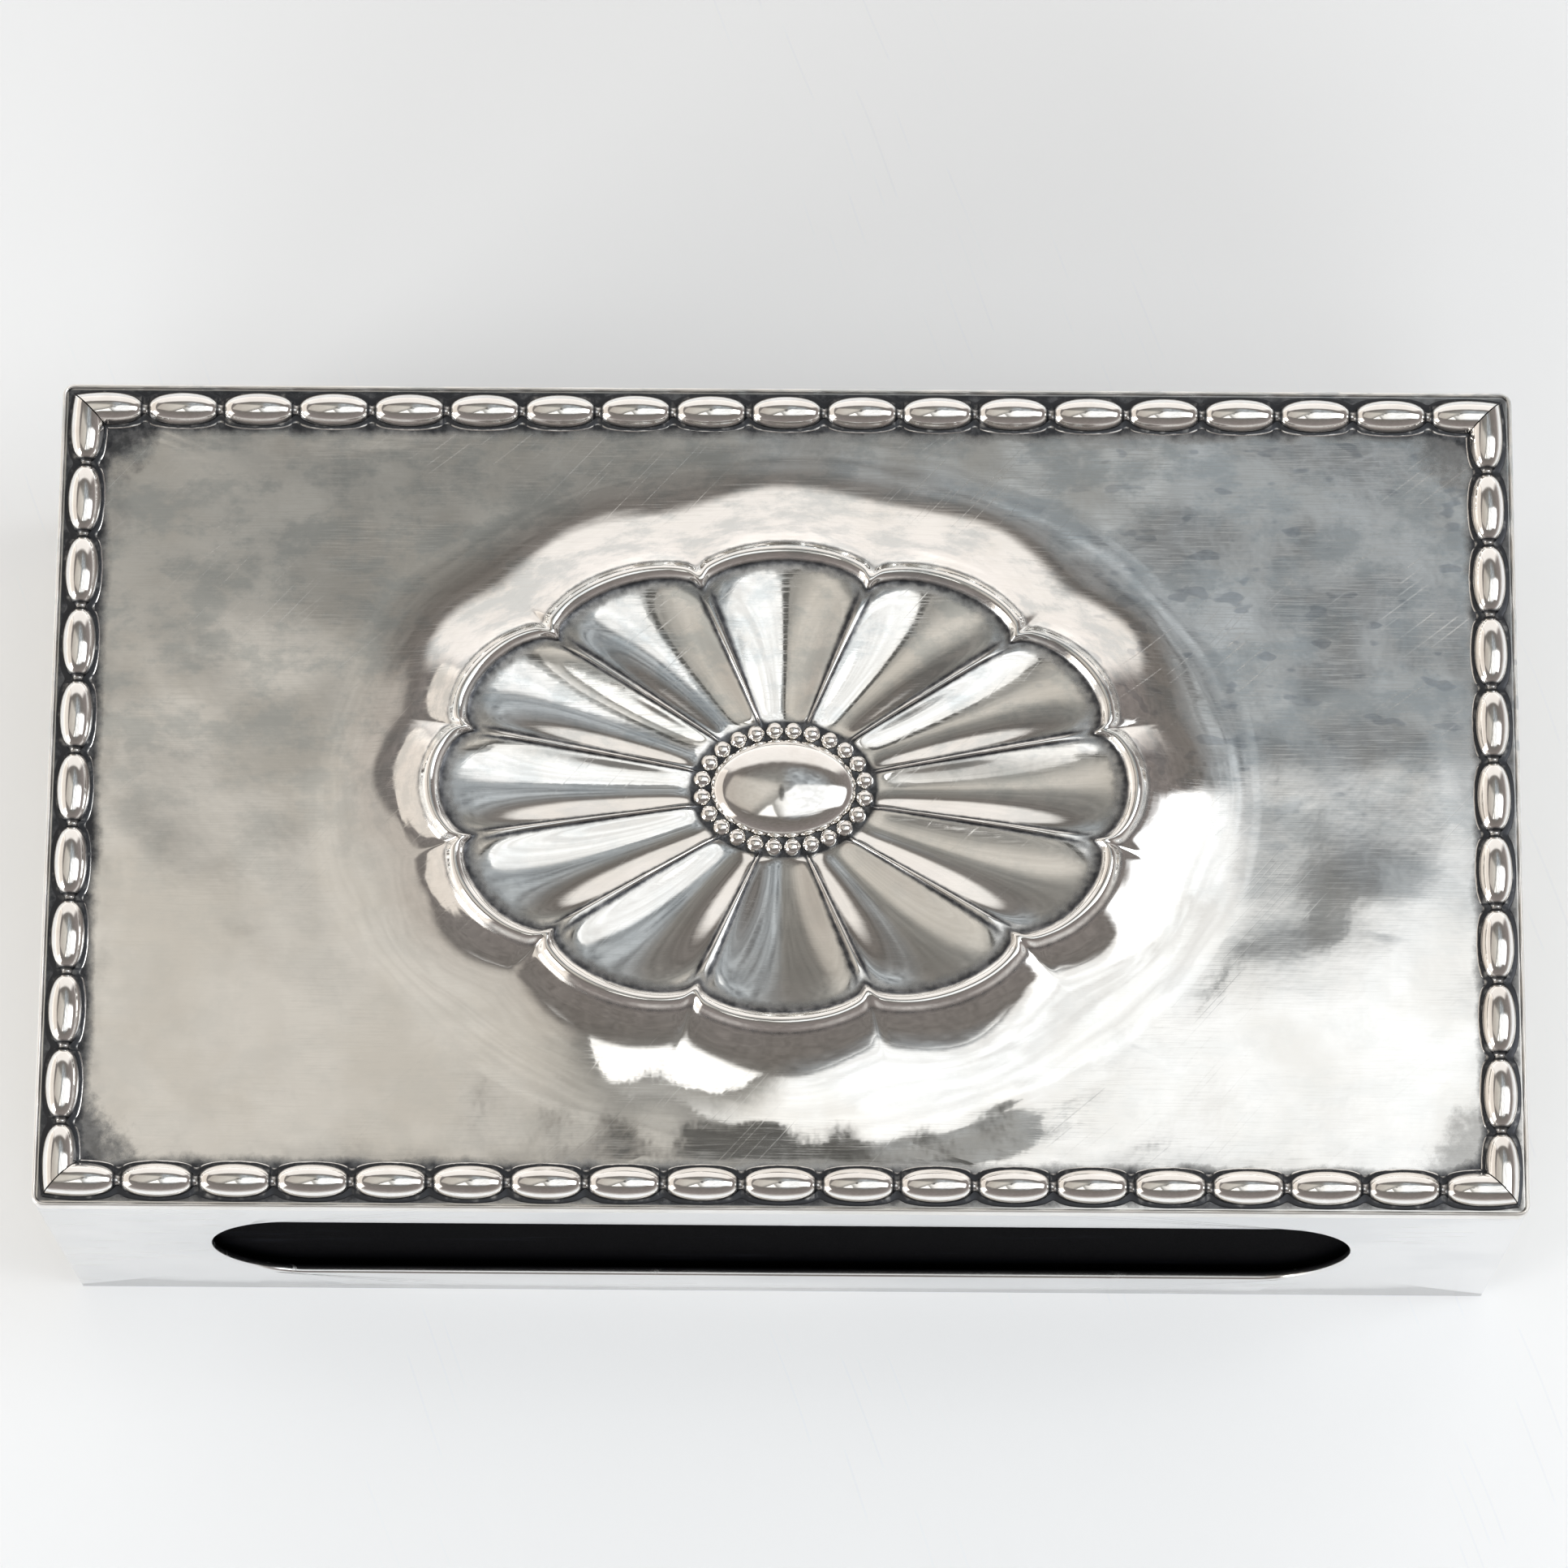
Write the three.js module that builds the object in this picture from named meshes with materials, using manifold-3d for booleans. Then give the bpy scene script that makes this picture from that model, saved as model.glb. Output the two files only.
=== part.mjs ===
// A silver table case for a household matchbox, with the matchbox that it holds.
// Millimetres, +Z up. The origin is the middle of the underside, X runs along the case and -Y is its front.
//
// The case is silversmith's sheet work. Two walls stand on either side of a base plate, and a cover with a
// raised oval rosette lies over them. Four lengths of bead moulding, mitred at the corners, are soldered round
// the cover's edge. The ends are open. A card matchbox slides in from either end, and its striking strips show
// through the long windows in the walls. The box's tray slides out of its sleeve with the matches.
import * as THREE from "three";
import { mergeVertices } from "three/addons/utils/BufferGeometryUtils.js";
import Module from "manifold-3d";

const wasm = await Module();
wasm.setup();

// Matches: square sticks laid across the tray with their heads to the front
const MATCH_COUNT = 18;
const MATCH_LENGTH = 58;
const MATCH_END_PLAY = 2.4;
const MATCH_SIDE_MARGIN = 5;
const MATCH_SKEW = THREE.MathUtils.degToRad(1.6);
const MATCH_SKEW_STEP = 2.4;
const STICK_SIDE = 2.2;
const HEAD_LENGTH = 4.6;
const HEAD_TAPER_LENGTH = 1.7;
const HEAD_SWELL = 0.3;

// Matchbox: an open card tray in a folded card sleeve, with a striking strip glued along each side
const CARD = 0.6;
const SLEEVE_LENGTH = 119;
const SLEEVE_HEIGHT = 33.5;
const SLEEVE_FOLD_RADIUS = 0.8;
const TRAY_SIDE_CLEARANCE = 0.4;
const TRAY_HEADROOM = 0.6;
const TRAY_SETBACK = 0.5;
const STRIKER_THICKNESS = 0.3;
const STRIKER_MARGIN = 2.2;

// Case body: sheet silver round the matchbox, with a round-ended window in each wall
const SHEET = 0.8;
const BOX_SIDE_CLEARANCE = 0.6;
const BOX_HEADROOM = 0.9;
const BOX_SETBACK = 0.7;
const WINDOW_END_MARGIN = 12.8;
const WINDOW_EDGE_MARGIN = 6.6;
const WINDOW_END_BULGE = 7.2;

// Cover edge: a fine lip, a channel and the bead moulding
const COVER_OVERHANG = 0.3;
const LIP_WIDTH = 0.4;
const LIP_HEIGHT = 0.3;
const CHANNEL_WIDTH = 0.35;
const BEAD_WIDTH = 2.9;
const BEAD_HEIGHT = 1.5;
const BEAD_PITCH = 6.3;
const BEAD_NECK_WIDTH = 0.9;
const BEAD_FULLNESS = 0.65;
const BEAD_CORNER_LEG = 4.8;
const MITRE_GAP = 0.1;

// Rosette: a fluted oval dish with a lobed rim, a ring of pearls and a plain boss, on a soft swelling
const ROSETTE_LENGTH = 58;
const ROSETTE_WIDTH = 40;
const LOBES = 12;
const LOBE_DEPTH = 2.2;
const RIM_HEIGHT = 3.4;
const RIM_STEP = 0.7;
const RIM_FOOT = 0.9;
const SWELL_MARGIN = 0.9;
const SWELL_FALL_POWER = 1.8;
const SEAT_HEIGHT = 1.2;
const DISH_RISE_POWER = 1.7;
const ARRIS_HEIGHT = 0.9;
const ARRIS_START = 0.12;
const ARRIS_END = 0.92;
const PEARL_DIAMETER = 1.5;
const PEARL_VALLEY_HEIGHT = 0.15;
const PEARLS_PER_LOBE = 2;
const BOSS_LENGTH = 12;
const BOSS_WIDTH = 8.4;
const BOSS_HEIGHT = 2;
const BOSS_HOLLOW_HEIGHT = 1;

// Fineness of the curved faces
const POINTS_PER_LOBE = 8;
const SWELL_SHARES = [0, 0.2, 0.45, 0.7, 1];
const FLUTE_SHARES = [0.15, 0.36, 0.58, 0.8, 1];
const DOME_SHARES = [0.4, 0.75, 0.95];
const HOLLOW_SHARE = 0.6;
const BEAD_STEPS = 6;
const BEAD_SIDES = 10;
const WINDOW_STEPS = 16;
const FOLD_STEPS = 3;
const HEAD_STEPS = 4;
const HEAD_SIDES = 8;

// Sizes that follow, from the matches outwards to the cover
const trayInnerWidth = MATCH_LENGTH + 2 * MATCH_END_PLAY;
const trayWidth = trayInnerWidth + 2 * CARD;
const trayLength = SLEEVE_LENGTH - 2 * TRAY_SETBACK;
const trayInnerLength = trayLength - 2 * CARD;
const trayHeight = SLEEVE_HEIGHT - 2 * CARD - TRAY_HEADROOM;
const sleeveInnerWidth = trayWidth + 2 * TRAY_SIDE_CLEARANCE;
const sleeveWidth = sleeveInnerWidth + 2 * CARD;
const innerWidth = sleeveWidth + 2 * STRIKER_THICKNESS + 2 * BOX_SIDE_CLEARANCE;
const bodyLength = SLEEVE_LENGTH + 2 * BOX_SETBACK;
const wallHeight = SHEET + SLEEVE_HEIGHT + BOX_HEADROOM;
const coverTop = wallHeight + SHEET;
const coverLength = bodyLength + 2 * COVER_OVERHANG;
const coverWidth = innerWidth + 2 * SHEET + 2 * COVER_OVERHANG;
const fieldInset = LIP_WIDTH + CHANNEL_WIDTH + BEAD_WIDTH;
const beadInset = fieldInset - BEAD_WIDTH / 2;

const silver = new THREE.MeshStandardMaterial({ color: 0xd3d0c9, roughness: 0.16, metalness: 1 });
const card = new THREE.MeshStandardMaterial({ color: 0xcfc3ac, roughness: 0.85, metalness: 0 });
const strikingCoat = new THREE.MeshStandardMaterial({ color: 0x141316, roughness: 0.55, metalness: 0 });
const wood = new THREE.MeshStandardMaterial({ color: 0xd9bd8c, roughness: 0.8, metalness: 0 });
const headPaste = new THREE.MeshStandardMaterial({ color: 0x7a1f1a, roughness: 0.75, metalness: 0 });

function toSolid(geometry) {
  const bare = geometry.clone();
  bare.deleteAttribute("normal");
  bare.deleteAttribute("uv");
  const merged = mergeVertices(bare, 1e-4);
  return new wasm.Manifold(
    new wasm.Mesh({
      numProp: 3,
      vertProperties: new Float32Array(merged.attributes.position.array),
      triVerts: new Uint32Array(merged.index.array),
    }),
  );
}

function toGeometry(solid) {
  const mesh = solid.getMesh();
  const geometry = new THREE.BufferGeometry();
  geometry.setAttribute("position", new THREE.BufferAttribute(mesh.vertProperties, 3));
  geometry.setIndex(new THREE.BufferAttribute(mesh.triVerts, 1));
  geometry.computeVertexNormals();
  return geometry;
}

// A closed skin over a stack of rings with equal point counts, from a first pole to a last pole.
function skinRings(firstPole, rings, lastPole) {
  const count = rings[0].length;
  const points = [firstPole, ...rings.flat(), lastPole];
  const last = points.length - 1;
  const faces = [];
  for (let j = 0; j < count; j++) {
    const next = (j + 1) % count;
    faces.push(0, 1 + next, 1 + j);
    for (let i = 0; i < rings.length - 1; i++) {
      const low = 1 + i * count;
      const high = low + count;
      faces.push(low + j, low + next, high + next);
      faces.push(low + j, high + next, high + j);
    }
    faces.push(last, last - count + j, last - count + next);
  }
  const geometry = new THREE.BufferGeometry().setFromPoints(points);
  geometry.setIndex(faces);
  geometry.computeVertexNormals();
  return geometry;
}

function rectangle(path, halfLength, low, high) {
  path.moveTo(-halfLength, low);
  path.lineTo(halfLength, low);
  path.lineTo(halfLength, high);
  path.lineTo(-halfLength, high);
  path.closePath();
  return path;
}

// Case wall: upright sheet with its window, outer face at y = -SHEET and inner face at y = 0
function wallGeometry() {
  const outline = rectangle(new THREE.Shape(), bodyLength / 2, 0, wallHeight);
  const middle = wallHeight / 2;
  const halfHeight = middle - WINDOW_EDGE_MARGIN;
  const straightHalf = bodyLength / 2 - WINDOW_END_MARGIN - WINDOW_END_BULGE;
  const quarter = Math.PI / 2;
  const opening = new THREE.Path();
  opening.moveTo(-straightHalf, middle - halfHeight);
  opening.lineTo(straightHalf, middle - halfHeight);
  opening.absellipse(straightHalf, middle, WINDOW_END_BULGE, halfHeight, -quarter, quarter);
  opening.lineTo(-straightHalf, middle + halfHeight);
  opening.absellipse(-straightHalf, middle, WINDOW_END_BULGE, halfHeight, quarter, 3 * quarter);
  outline.holes.push(opening);

  const options = { depth: SHEET, bevelEnabled: false, curveSegments: WINDOW_STEPS };
  return new THREE.ExtrudeGeometry(outline, options).rotateX(quarter);
}

// Cover: one sheet raised and chased from behind, as rings of points from its middle to its edge.
// Every ring has the same number of points, a whole number for each lobe of the rosette.
const ringPoints = LOBES * POINTS_PER_LOBE;
const quarterPoints = ringPoints / 4;
const shortSteps = Math.round((quarterPoints * coverWidth) / (coverLength + coverWidth));
const longSteps = quarterPoints - shortSteps;
const rimFootHeight = RIM_HEIGHT - RIM_STEP;
const swellReach = coverWidth / 2 - fieldInset - SWELL_MARGIN - ROSETTE_WIDTH / 2;

// Place across a lobe: 0 on its centre line, -1 and 1 at the notches on either side
function acrossLobe(j) {
  return (2 * ((j + POINTS_PER_LOBE / 2) % POINTS_PER_LOBE)) / POINTS_PER_LOBE - 1;
}

function ovalRing(halfLengthAt, halfWidthAt, heightAt) {
  return Array.from({ length: ringPoints }, (_, j) => {
    const angle = (2 * Math.PI * j) / ringPoints;
    return new THREE.Vector3(
      halfLengthAt(j) * Math.cos(angle),
      halfWidthAt(j) * Math.sin(angle),
      coverTop + heightAt(j),
    );
  });
}

function rectangleRing(inset, height) {
  const halfLength = coverLength / 2 - inset;
  const halfWidth = coverWidth / 2 - inset;
  return Array.from({ length: ringPoints }, (_, j) => {
    const quadrant = Math.floor(j / quarterPoints);
    const step = j % quarterPoints;
    const k = quadrant % 2 ? quarterPoints - step : step;
    const x = k <= shortSteps ? halfLength : halfLength * (1 - (k - shortSteps) / longSteps);
    const y = k <= shortSteps ? (halfWidth * k) / shortSteps : halfWidth;
    const isRight = quadrant === 0 || quadrant === 3;
    return new THREE.Vector3(isRight ? x : -x, quadrant < 2 ? y : -y, coverTop + height);
  });
}

// The lobed rim line, moved out by an offset. Outside the rim the lobes fade as the sheet swells away.
function rimRing(offset, height) {
  const fade = offset > 0 ? (1 - offset / swellReach) ** 2 : 1;
  const spread = (half) => (j) =>
    half + offset - LOBE_DEPTH * fade * (1 - Math.sqrt(1 - acrossLobe(j) ** 2));
  return ovalRing(spread(ROSETTE_LENGTH / 2), spread(ROSETTE_WIDTH / 2), () => height);
}

function swellRing(share, drop) {
  const offset = RIM_FOOT + (swellReach - RIM_FOOT) * share;
  return rimRing(offset, rimFootHeight * (1 - share) ** SWELL_FALL_POWER - drop);
}

function bossRing(offset, heightAt) {
  return ovalRing(() => BOSS_LENGTH / 2 + offset, () => BOSS_WIDTH / 2 + offset, heightAt);
}

function domeRing(share, rise, drop) {
  const height = SEAT_HEIGHT + rise * Math.sqrt(1 - share ** 2) - drop;
  return ovalRing(() => (BOSS_LENGTH / 2) * share, () => (BOSS_WIDTH / 2) * share, () => height);
}

function pearlHeight(j) {
  const turn = (2 * Math.PI * PEARLS_PER_LOBE * j) / POINTS_PER_LOBE;
  const crest = (1 + Math.cos(turn)) / 2;
  return SEAT_HEIGHT + THREE.MathUtils.lerp(PEARL_VALLEY_HEIGHT, PEARL_DIAMETER / 2, crest);
}

// The flutes rise from the pearls to the rim. Arrises stand between them and die away at both ends.
function fluteRing(share, arris, drop) {
  const inner = bossRing(PEARL_DIAMETER, () => 0);
  const outer = rimRing(-RIM_FOOT, 0);
  const floor = SEAT_HEIGHT + (rimFootHeight - SEAT_HEIGHT) * share ** DISH_RISE_POWER;
  return inner.map((point, j) => {
    point.lerp(outer[j], share);
    point.z = coverTop + floor + arris * acrossLobe(j) ** 2 - drop;
    return point;
  });
}

function arrisHeight(share) {
  return ARRIS_HEIGHT * Math.sin(Math.PI * THREE.MathUtils.lerp(ARRIS_START, ARRIS_END, share));
}

function coverGeometry() {
  const seat = () => SEAT_HEIGHT;
  const underside = [
    domeRing(HOLLOW_SHARE, BOSS_HOLLOW_HEIGHT, SHEET),
    bossRing(PEARL_DIAMETER, () => SEAT_HEIGHT - SHEET),
    ...FLUTE_SHARES.map((share) => fluteRing(share, 0, SHEET)),
    ...SWELL_SHARES.map((share) => swellRing(share, SHEET)),
    rectangleRing(0, -SHEET),
  ];
  const edge = [
    rectangleRing(0, 0),
    rectangleRing(LIP_WIDTH / 2, LIP_HEIGHT),
    rectangleRing(LIP_WIDTH, 0),
    rectangleRing(fieldInset, 0),
  ];
  const ornamentOutwards = [
    ...DOME_SHARES.map((share) => domeRing(share, BOSS_HEIGHT, 0)),
    bossRing(0, seat),
    bossRing(PEARL_DIAMETER / 2, pearlHeight),
    bossRing(PEARL_DIAMETER, seat),
    ...FLUTE_SHARES.map((share) => fluteRing(share, arrisHeight(share), 0)),
    rimRing(0, RIM_HEIGHT),
    ...SWELL_SHARES.map((share) => swellRing(share, 0)),
  ];
  const underPole = new THREE.Vector3(0, 0, coverTop + SEAT_HEIGHT + BOSS_HOLLOW_HEIGHT - SHEET);
  const topPole = new THREE.Vector3(0, 0, coverTop + SEAT_HEIGHT + BOSS_HEIGHT);
  return skinRings(underPole, [...underside, ...edge, ...ornamentOutwards.reverse()], topPole);
}

// Bead moulding: a turned row of oval beads, halved along its axis and mitred at both ends.
// It lies along X on the plane z = 0 with its outer side to -Y. The run is from mitre to mitre.
function beadMouldingGeometry(run) {
  const radius = BEAD_WIDTH / 2;
  const neck = BEAD_NECK_WIDTH / 2;
  const rowLength = run - 2 * BEAD_CORNER_LEG;
  const count = Math.round(rowLength / BEAD_PITCH);
  const pitch = rowLength / count;
  const end = run / 2 + radius;
  const beadPoint = (middle, step) => {
    const turn = (Math.PI * step) / BEAD_STEPS;
    const swell = Math.sin(turn) ** BEAD_FULLNESS;
    return new THREE.Vector2(neck + (radius - neck) * swell, middle - (pitch / 2) * Math.cos(turn));
  };

  const profile = [new THREE.Vector2(0, -end), new THREE.Vector2(radius, -end)];
  for (let i = -1; i <= count; i++) {
    const middle = (i + 0.5) * pitch - rowLength / 2;
    const firstStep = i < 0 ? BEAD_STEPS / 2 : 1;
    const lastStep = i < count ? BEAD_STEPS : BEAD_STEPS / 2;
    for (let step = firstStep; step <= lastStep; step++) {
      profile.push(beadPoint(middle, step));
    }
  }
  profile.push(new THREE.Vector2(radius, end), new THREE.Vector2(0, end));

  const turned = new THREE.LatheGeometry(profile, BEAD_SIDES);
  turned.rotateZ(-Math.PI / 2);
  turned.scale(1, 1, BEAD_HEIGHT / radius);

  const outer = run / 2 + BEAD_WIDTH - MITRE_GAP / Math.SQRT2;
  const inner = outer - 2 * BEAD_WIDTH;
  const plan = new THREE.Shape([
    new THREE.Vector2(-outer, -BEAD_WIDTH),
    new THREE.Vector2(outer, -BEAD_WIDTH),
    new THREE.Vector2(inner, BEAD_WIDTH),
    new THREE.Vector2(-inner, BEAD_WIDTH),
  ]);
  const options = { depth: BEAD_WIDTH + BEAD_HEIGHT, bevelEnabled: false };
  const upperHalf = new THREE.ExtrudeGeometry(plan, options);
  return toGeometry(toSolid(turned).intersect(toSolid(upperHalf)));
}

// Sleeve: a card tube along X, folded with soft corners, standing on z = 0
function sleeveGeometry() {
  const r = SLEEVE_FOLD_RADIUS;
  const flat = sleeveWidth / 2 - r;
  const quarter = Math.PI / 2;
  const outline = new THREE.Shape();
  outline.moveTo(-flat, 0);
  outline.absarc(flat, r, r, -quarter, 0);
  outline.absarc(flat, SLEEVE_HEIGHT - r, r, 0, quarter);
  outline.absarc(-flat, SLEEVE_HEIGHT - r, r, quarter, 2 * quarter);
  outline.absarc(-flat, r, r, 2 * quarter, 3 * quarter);
  outline.holes.push(rectangle(new THREE.Path(), sleeveInnerWidth / 2, CARD, SLEEVE_HEIGHT - CARD));

  const options = { depth: SLEEVE_LENGTH, bevelEnabled: false, curveSegments: FOLD_STEPS };
  const tube = new THREE.ExtrudeGeometry(outline, options);
  return tube.translate(0, 0, -SLEEVE_LENGTH / 2).rotateX(quarter).rotateZ(quarter);
}

// Tray: an open box standing on z = 0
function trayGeometry() {
  const outside = new THREE.BoxGeometry(trayLength, trayWidth, trayHeight);
  const hollow = new THREE.BoxGeometry(trayInnerLength, trayInnerWidth, trayHeight).translate(0, 0, CARD);
  const tray = toGeometry(toSolid(outside).subtract(toSolid(hollow)));
  return tray.translate(0, 0, trayHeight / 2);
}

// Match: stick and head lie along Y on the axis z = 0, with the head's tip to -Y
const headRadius = STICK_SIDE / 2 + HEAD_SWELL;
const headJoint = HEAD_LENGTH - MATCH_LENGTH / 2;

function stickGeometry() {
  const length = MATCH_LENGTH - HEAD_LENGTH;
  return new THREE.BoxGeometry(STICK_SIDE, length, STICK_SIDE).translate(0, headJoint + length / 2, 0);
}

function headGeometry() {
  const domeLength = HEAD_LENGTH - HEAD_TAPER_LENGTH;
  const dome = new THREE.EllipseCurve(0, HEAD_TAPER_LENGTH, headRadius, domeLength, 0, Math.PI / 2);
  const profile = [
    new THREE.Vector2(0, 0),
    new THREE.Vector2(STICK_SIDE / 2, 0),
    ...dome.getPoints(HEAD_STEPS).slice(0, -1),
    new THREE.Vector2(0, HEAD_LENGTH),
  ];
  return new THREE.LatheGeometry(profile, HEAD_SIDES).rotateZ(Math.PI).translate(0, headJoint, 0);
}

function addPiece(parent, name, geometry, material) {
  const mesh = new THREE.Mesh(geometry, material);
  mesh.name = name;
  parent.add(mesh);
  return mesh;
}

// Case
const assembly = new THREE.Group();
const base = addPiece(assembly, "base_plate", new THREE.BoxGeometry(bodyLength, innerWidth, SHEET), silver);
base.position.z = SHEET / 2;
addPiece(assembly, "front_wall", wallGeometry(), silver).position.y = -innerWidth / 2;
addPiece(assembly, "back_wall", wallGeometry(), silver).position.y = innerWidth / 2 + SHEET;
addPiece(assembly, "cover", coverGeometry(), silver);

const longRun = coverLength - 2 * beadInset;
const shortRun = coverWidth - 2 * beadInset;
const sides = [
  { side: "front", run: longRun, x: 0, y: -shortRun / 2, turn: 0 },
  { side: "right", run: shortRun, x: longRun / 2, y: 0, turn: Math.PI / 2 },
  { side: "back", run: longRun, x: 0, y: shortRun / 2, turn: Math.PI },
  { side: "left", run: shortRun, x: -longRun / 2, y: 0, turn: -Math.PI / 2 },
];
for (const { side, run, x, y, turn } of sides) {
  const moulding = addPiece(assembly, `bead_moulding_${side}`, beadMouldingGeometry(run), silver);
  moulding.position.set(x, y, coverTop);
  moulding.rotation.z = turn;
}

// Matchbox, standing on the base plate
const matchbox = new THREE.Group();
matchbox.position.z = SHEET;
assembly.add(matchbox);
addPiece(matchbox, "matchbox_sleeve", sleeveGeometry(), card);
const strikerHeight = SLEEVE_HEIGHT - 2 * STRIKER_MARGIN;
const strikerPlace = (sleeveWidth + STRIKER_THICKNESS) / 2;
for (const [side, y] of [["front", -strikerPlace], ["back", strikerPlace]]) {
  const strip = new THREE.BoxGeometry(SLEEVE_LENGTH, STRIKER_THICKNESS, strikerHeight);
  addPiece(matchbox, `striker_${side}`, strip, strikingCoat).position.set(0, y, SLEEVE_HEIGHT / 2);
}

// Tray with its matches, standing on the sleeve's floor
const tray = new THREE.Group();
tray.position.z = CARD;
matchbox.add(tray);
addPiece(tray, "matchbox_tray", trayGeometry(), card);
const matchSpan = trayInnerLength - 2 * MATCH_SIDE_MARGIN;
for (let i = 0; i < MATCH_COUNT; i++) {
  const number = String(i + 1).padStart(2, "0");
  const match = new THREE.Group();
  match.position.set(matchSpan * (i / (MATCH_COUNT - 1) - 0.5), 0, CARD + headRadius);
  match.rotation.z = MATCH_SKEW * Math.sin(MATCH_SKEW_STEP * i);
  tray.add(match);
  addPiece(match, `match_stick_${number}`, stickGeometry(), wood);
  addPiece(match, `match_head_${number}`, headGeometry(), headPaste);
}

export default assembly;
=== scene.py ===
# %% [markdown]
# # A silver matchbox case
# The case is silversmith's sheet work round a card matchbox: a cover with a raised oval ornament and a
# border of beads, two walls with long windows for the striking strips, and a plain base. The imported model
# gives every piece its real size and place, so the looks are built round it in the same frame.

# %% Load the frame
from functools import partial
from math import atan2, cos, degrees, pi, radians, sin, sqrt

import bmesh
import bpy
from mathutils import Matrix, Vector


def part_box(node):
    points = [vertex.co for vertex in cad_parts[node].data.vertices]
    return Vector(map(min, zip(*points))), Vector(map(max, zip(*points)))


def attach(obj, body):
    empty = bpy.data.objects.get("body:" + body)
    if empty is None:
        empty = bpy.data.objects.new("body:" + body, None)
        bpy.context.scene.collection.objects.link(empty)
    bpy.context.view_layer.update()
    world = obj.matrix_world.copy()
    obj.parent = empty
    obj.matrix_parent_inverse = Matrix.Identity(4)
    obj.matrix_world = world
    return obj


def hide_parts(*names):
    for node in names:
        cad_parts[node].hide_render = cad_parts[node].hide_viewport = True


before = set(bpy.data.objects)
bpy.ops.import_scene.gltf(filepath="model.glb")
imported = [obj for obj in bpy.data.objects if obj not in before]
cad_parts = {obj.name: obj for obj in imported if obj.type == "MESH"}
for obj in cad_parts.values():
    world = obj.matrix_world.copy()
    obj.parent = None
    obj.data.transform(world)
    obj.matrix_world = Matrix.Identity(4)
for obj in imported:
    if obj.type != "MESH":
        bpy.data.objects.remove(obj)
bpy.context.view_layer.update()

MM = 0.001

# %% [markdown]
# ## Working in millimetres
# Silversmiths think in tenths of a millimetre, and Blender's tools behave best on shapes of about that
# many units. In metres, each number below would be a long fraction. So every piece is modelled with one
# unit to the millimetre and brought down to metres when it is finished, with its place kept in its mesh.

# %% Helpers for selecting
def edit_mode():
    bpy.ops.object.mode_set(mode="EDIT")
    bpy.ops.mesh.select_mode(type="VERT")


def object_mode():
    bpy.ops.object.mode_set(mode="OBJECT")


def select_only(*objects):
    bpy.ops.object.select_all(action="DESELECT")
    for each in objects:
        each.select_set(True)
    bpy.context.view_layer.objects.active = objects[0]


def select_mesh():
    bpy.ops.mesh.select_all(action="SELECT")


def select_where(test):
    mesh = bpy.context.object.data
    edit = bmesh.from_edit_mesh(mesh)
    for vertex in edit.verts:
        vertex.select_set(False)
    for vertex in edit.verts:
        if test(vertex.co):
            vertex.select_set(True)
    edit.select_flush_mode()
    bmesh.update_edit_mesh(mesh)


def select_parts(kind, test):
    mesh = bpy.context.object.data
    bpy.ops.mesh.select_mode(type=kind)
    edit = bmesh.from_edit_mesh(mesh)
    for part in {"EDGE": edit.edges, "FACE": edit.faces}[kind]:
        part.select_set(test(part))
    bmesh.update_edit_mesh(mesh)


# %% Helpers for modelling
def move(x, y, z):
    bpy.ops.transform.translate(value=(x, y, z))


def resize(x, y, z, middle=(0, 0, 0)):
    bpy.ops.transform.resize(value=(x, y, z), center_override=middle)


def draw_out(shift, growth, middle=(0, 0, 0)):
    bpy.ops.mesh.extrude_edges_move()
    move(*shift)
    resize(*growth, middle)


def give_weight(weight):
    bpy.context.scene.tool_settings.vertex_group_weight = weight
    bpy.ops.object.vertex_group_assign()


def duplicate(piece):
    select_only(piece)
    bpy.ops.object.duplicate()
    return bpy.context.object


def apply_place():
    bpy.ops.object.transform_apply(location=True, rotation=True, scale=True)


# %% Helpers for finishing a piece
def apply_modifier(piece, kind, **settings):
    modifier = piece.modifiers.new(kind.lower(), kind)
    for setting, value in settings.items():
        setattr(modifier, setting, value)
    bpy.ops.object.modifier_apply(modifier=modifier.name)


def round_off(piece, levels):
    apply_modifier(piece, "SUBSURF", levels=levels, render_levels=levels)


def face_outwards():
    edit_mode()
    select_mesh()
    bpy.ops.mesh.normals_make_consistent(inside=False)
    object_mode()


def finish_piece(piece, name, body, material, nodes=(), smooth_angle=35):
    select_only(piece)
    apply_place()
    piece.scale = (MM, MM, MM)
    apply_place()
    bpy.ops.object.shade_smooth_by_angle(angle=radians(smooth_angle))
    piece.name = name
    piece.data.name = name
    piece.data.materials.clear()
    piece.data.materials.append(material)
    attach(piece, body)
    if nodes:
        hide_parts(*nodes)
    print(name, "has", sum(len(face.vertices) - 2 for face in piece.data.polygons), "triangles")


def refinish(node, material):
    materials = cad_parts[node].data.materials
    materials.clear()
    materials.append(material)
    print(node, "keeps its shape and takes", material.name)


# %% Lines that several pieces share
BEAD_INSET = 2.2
BEAD_RADIUS = 1.45
LIP_WIDTH = 0.42


def node_box(node):
    return [Vector(corner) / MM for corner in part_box(node)]


cover_low, cover_high = node_box("cover")
bead_low, bead_high = node_box("bead_moulding_front")
FIELD = bead_low.z
bead_line = (cover_high.x - BEAD_INSET, cover_high.y - BEAD_INSET)
field_half = (bead_line[0] - BEAD_RADIUS, bead_line[1] - BEAD_RADIUS)
print("Field inside the beads:", [round(2 * half, 1) for half in field_half], "mm")

# %% [markdown]
# ## Camera
# The photograph looks down on the case from the front, with a long lens about half a metre away. A camera
# could be set by eye. This one's turn, height and distance were worked out from the corners of the cover
# and the foot of the front wall, so that the picture can be laid over the photograph.

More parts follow.
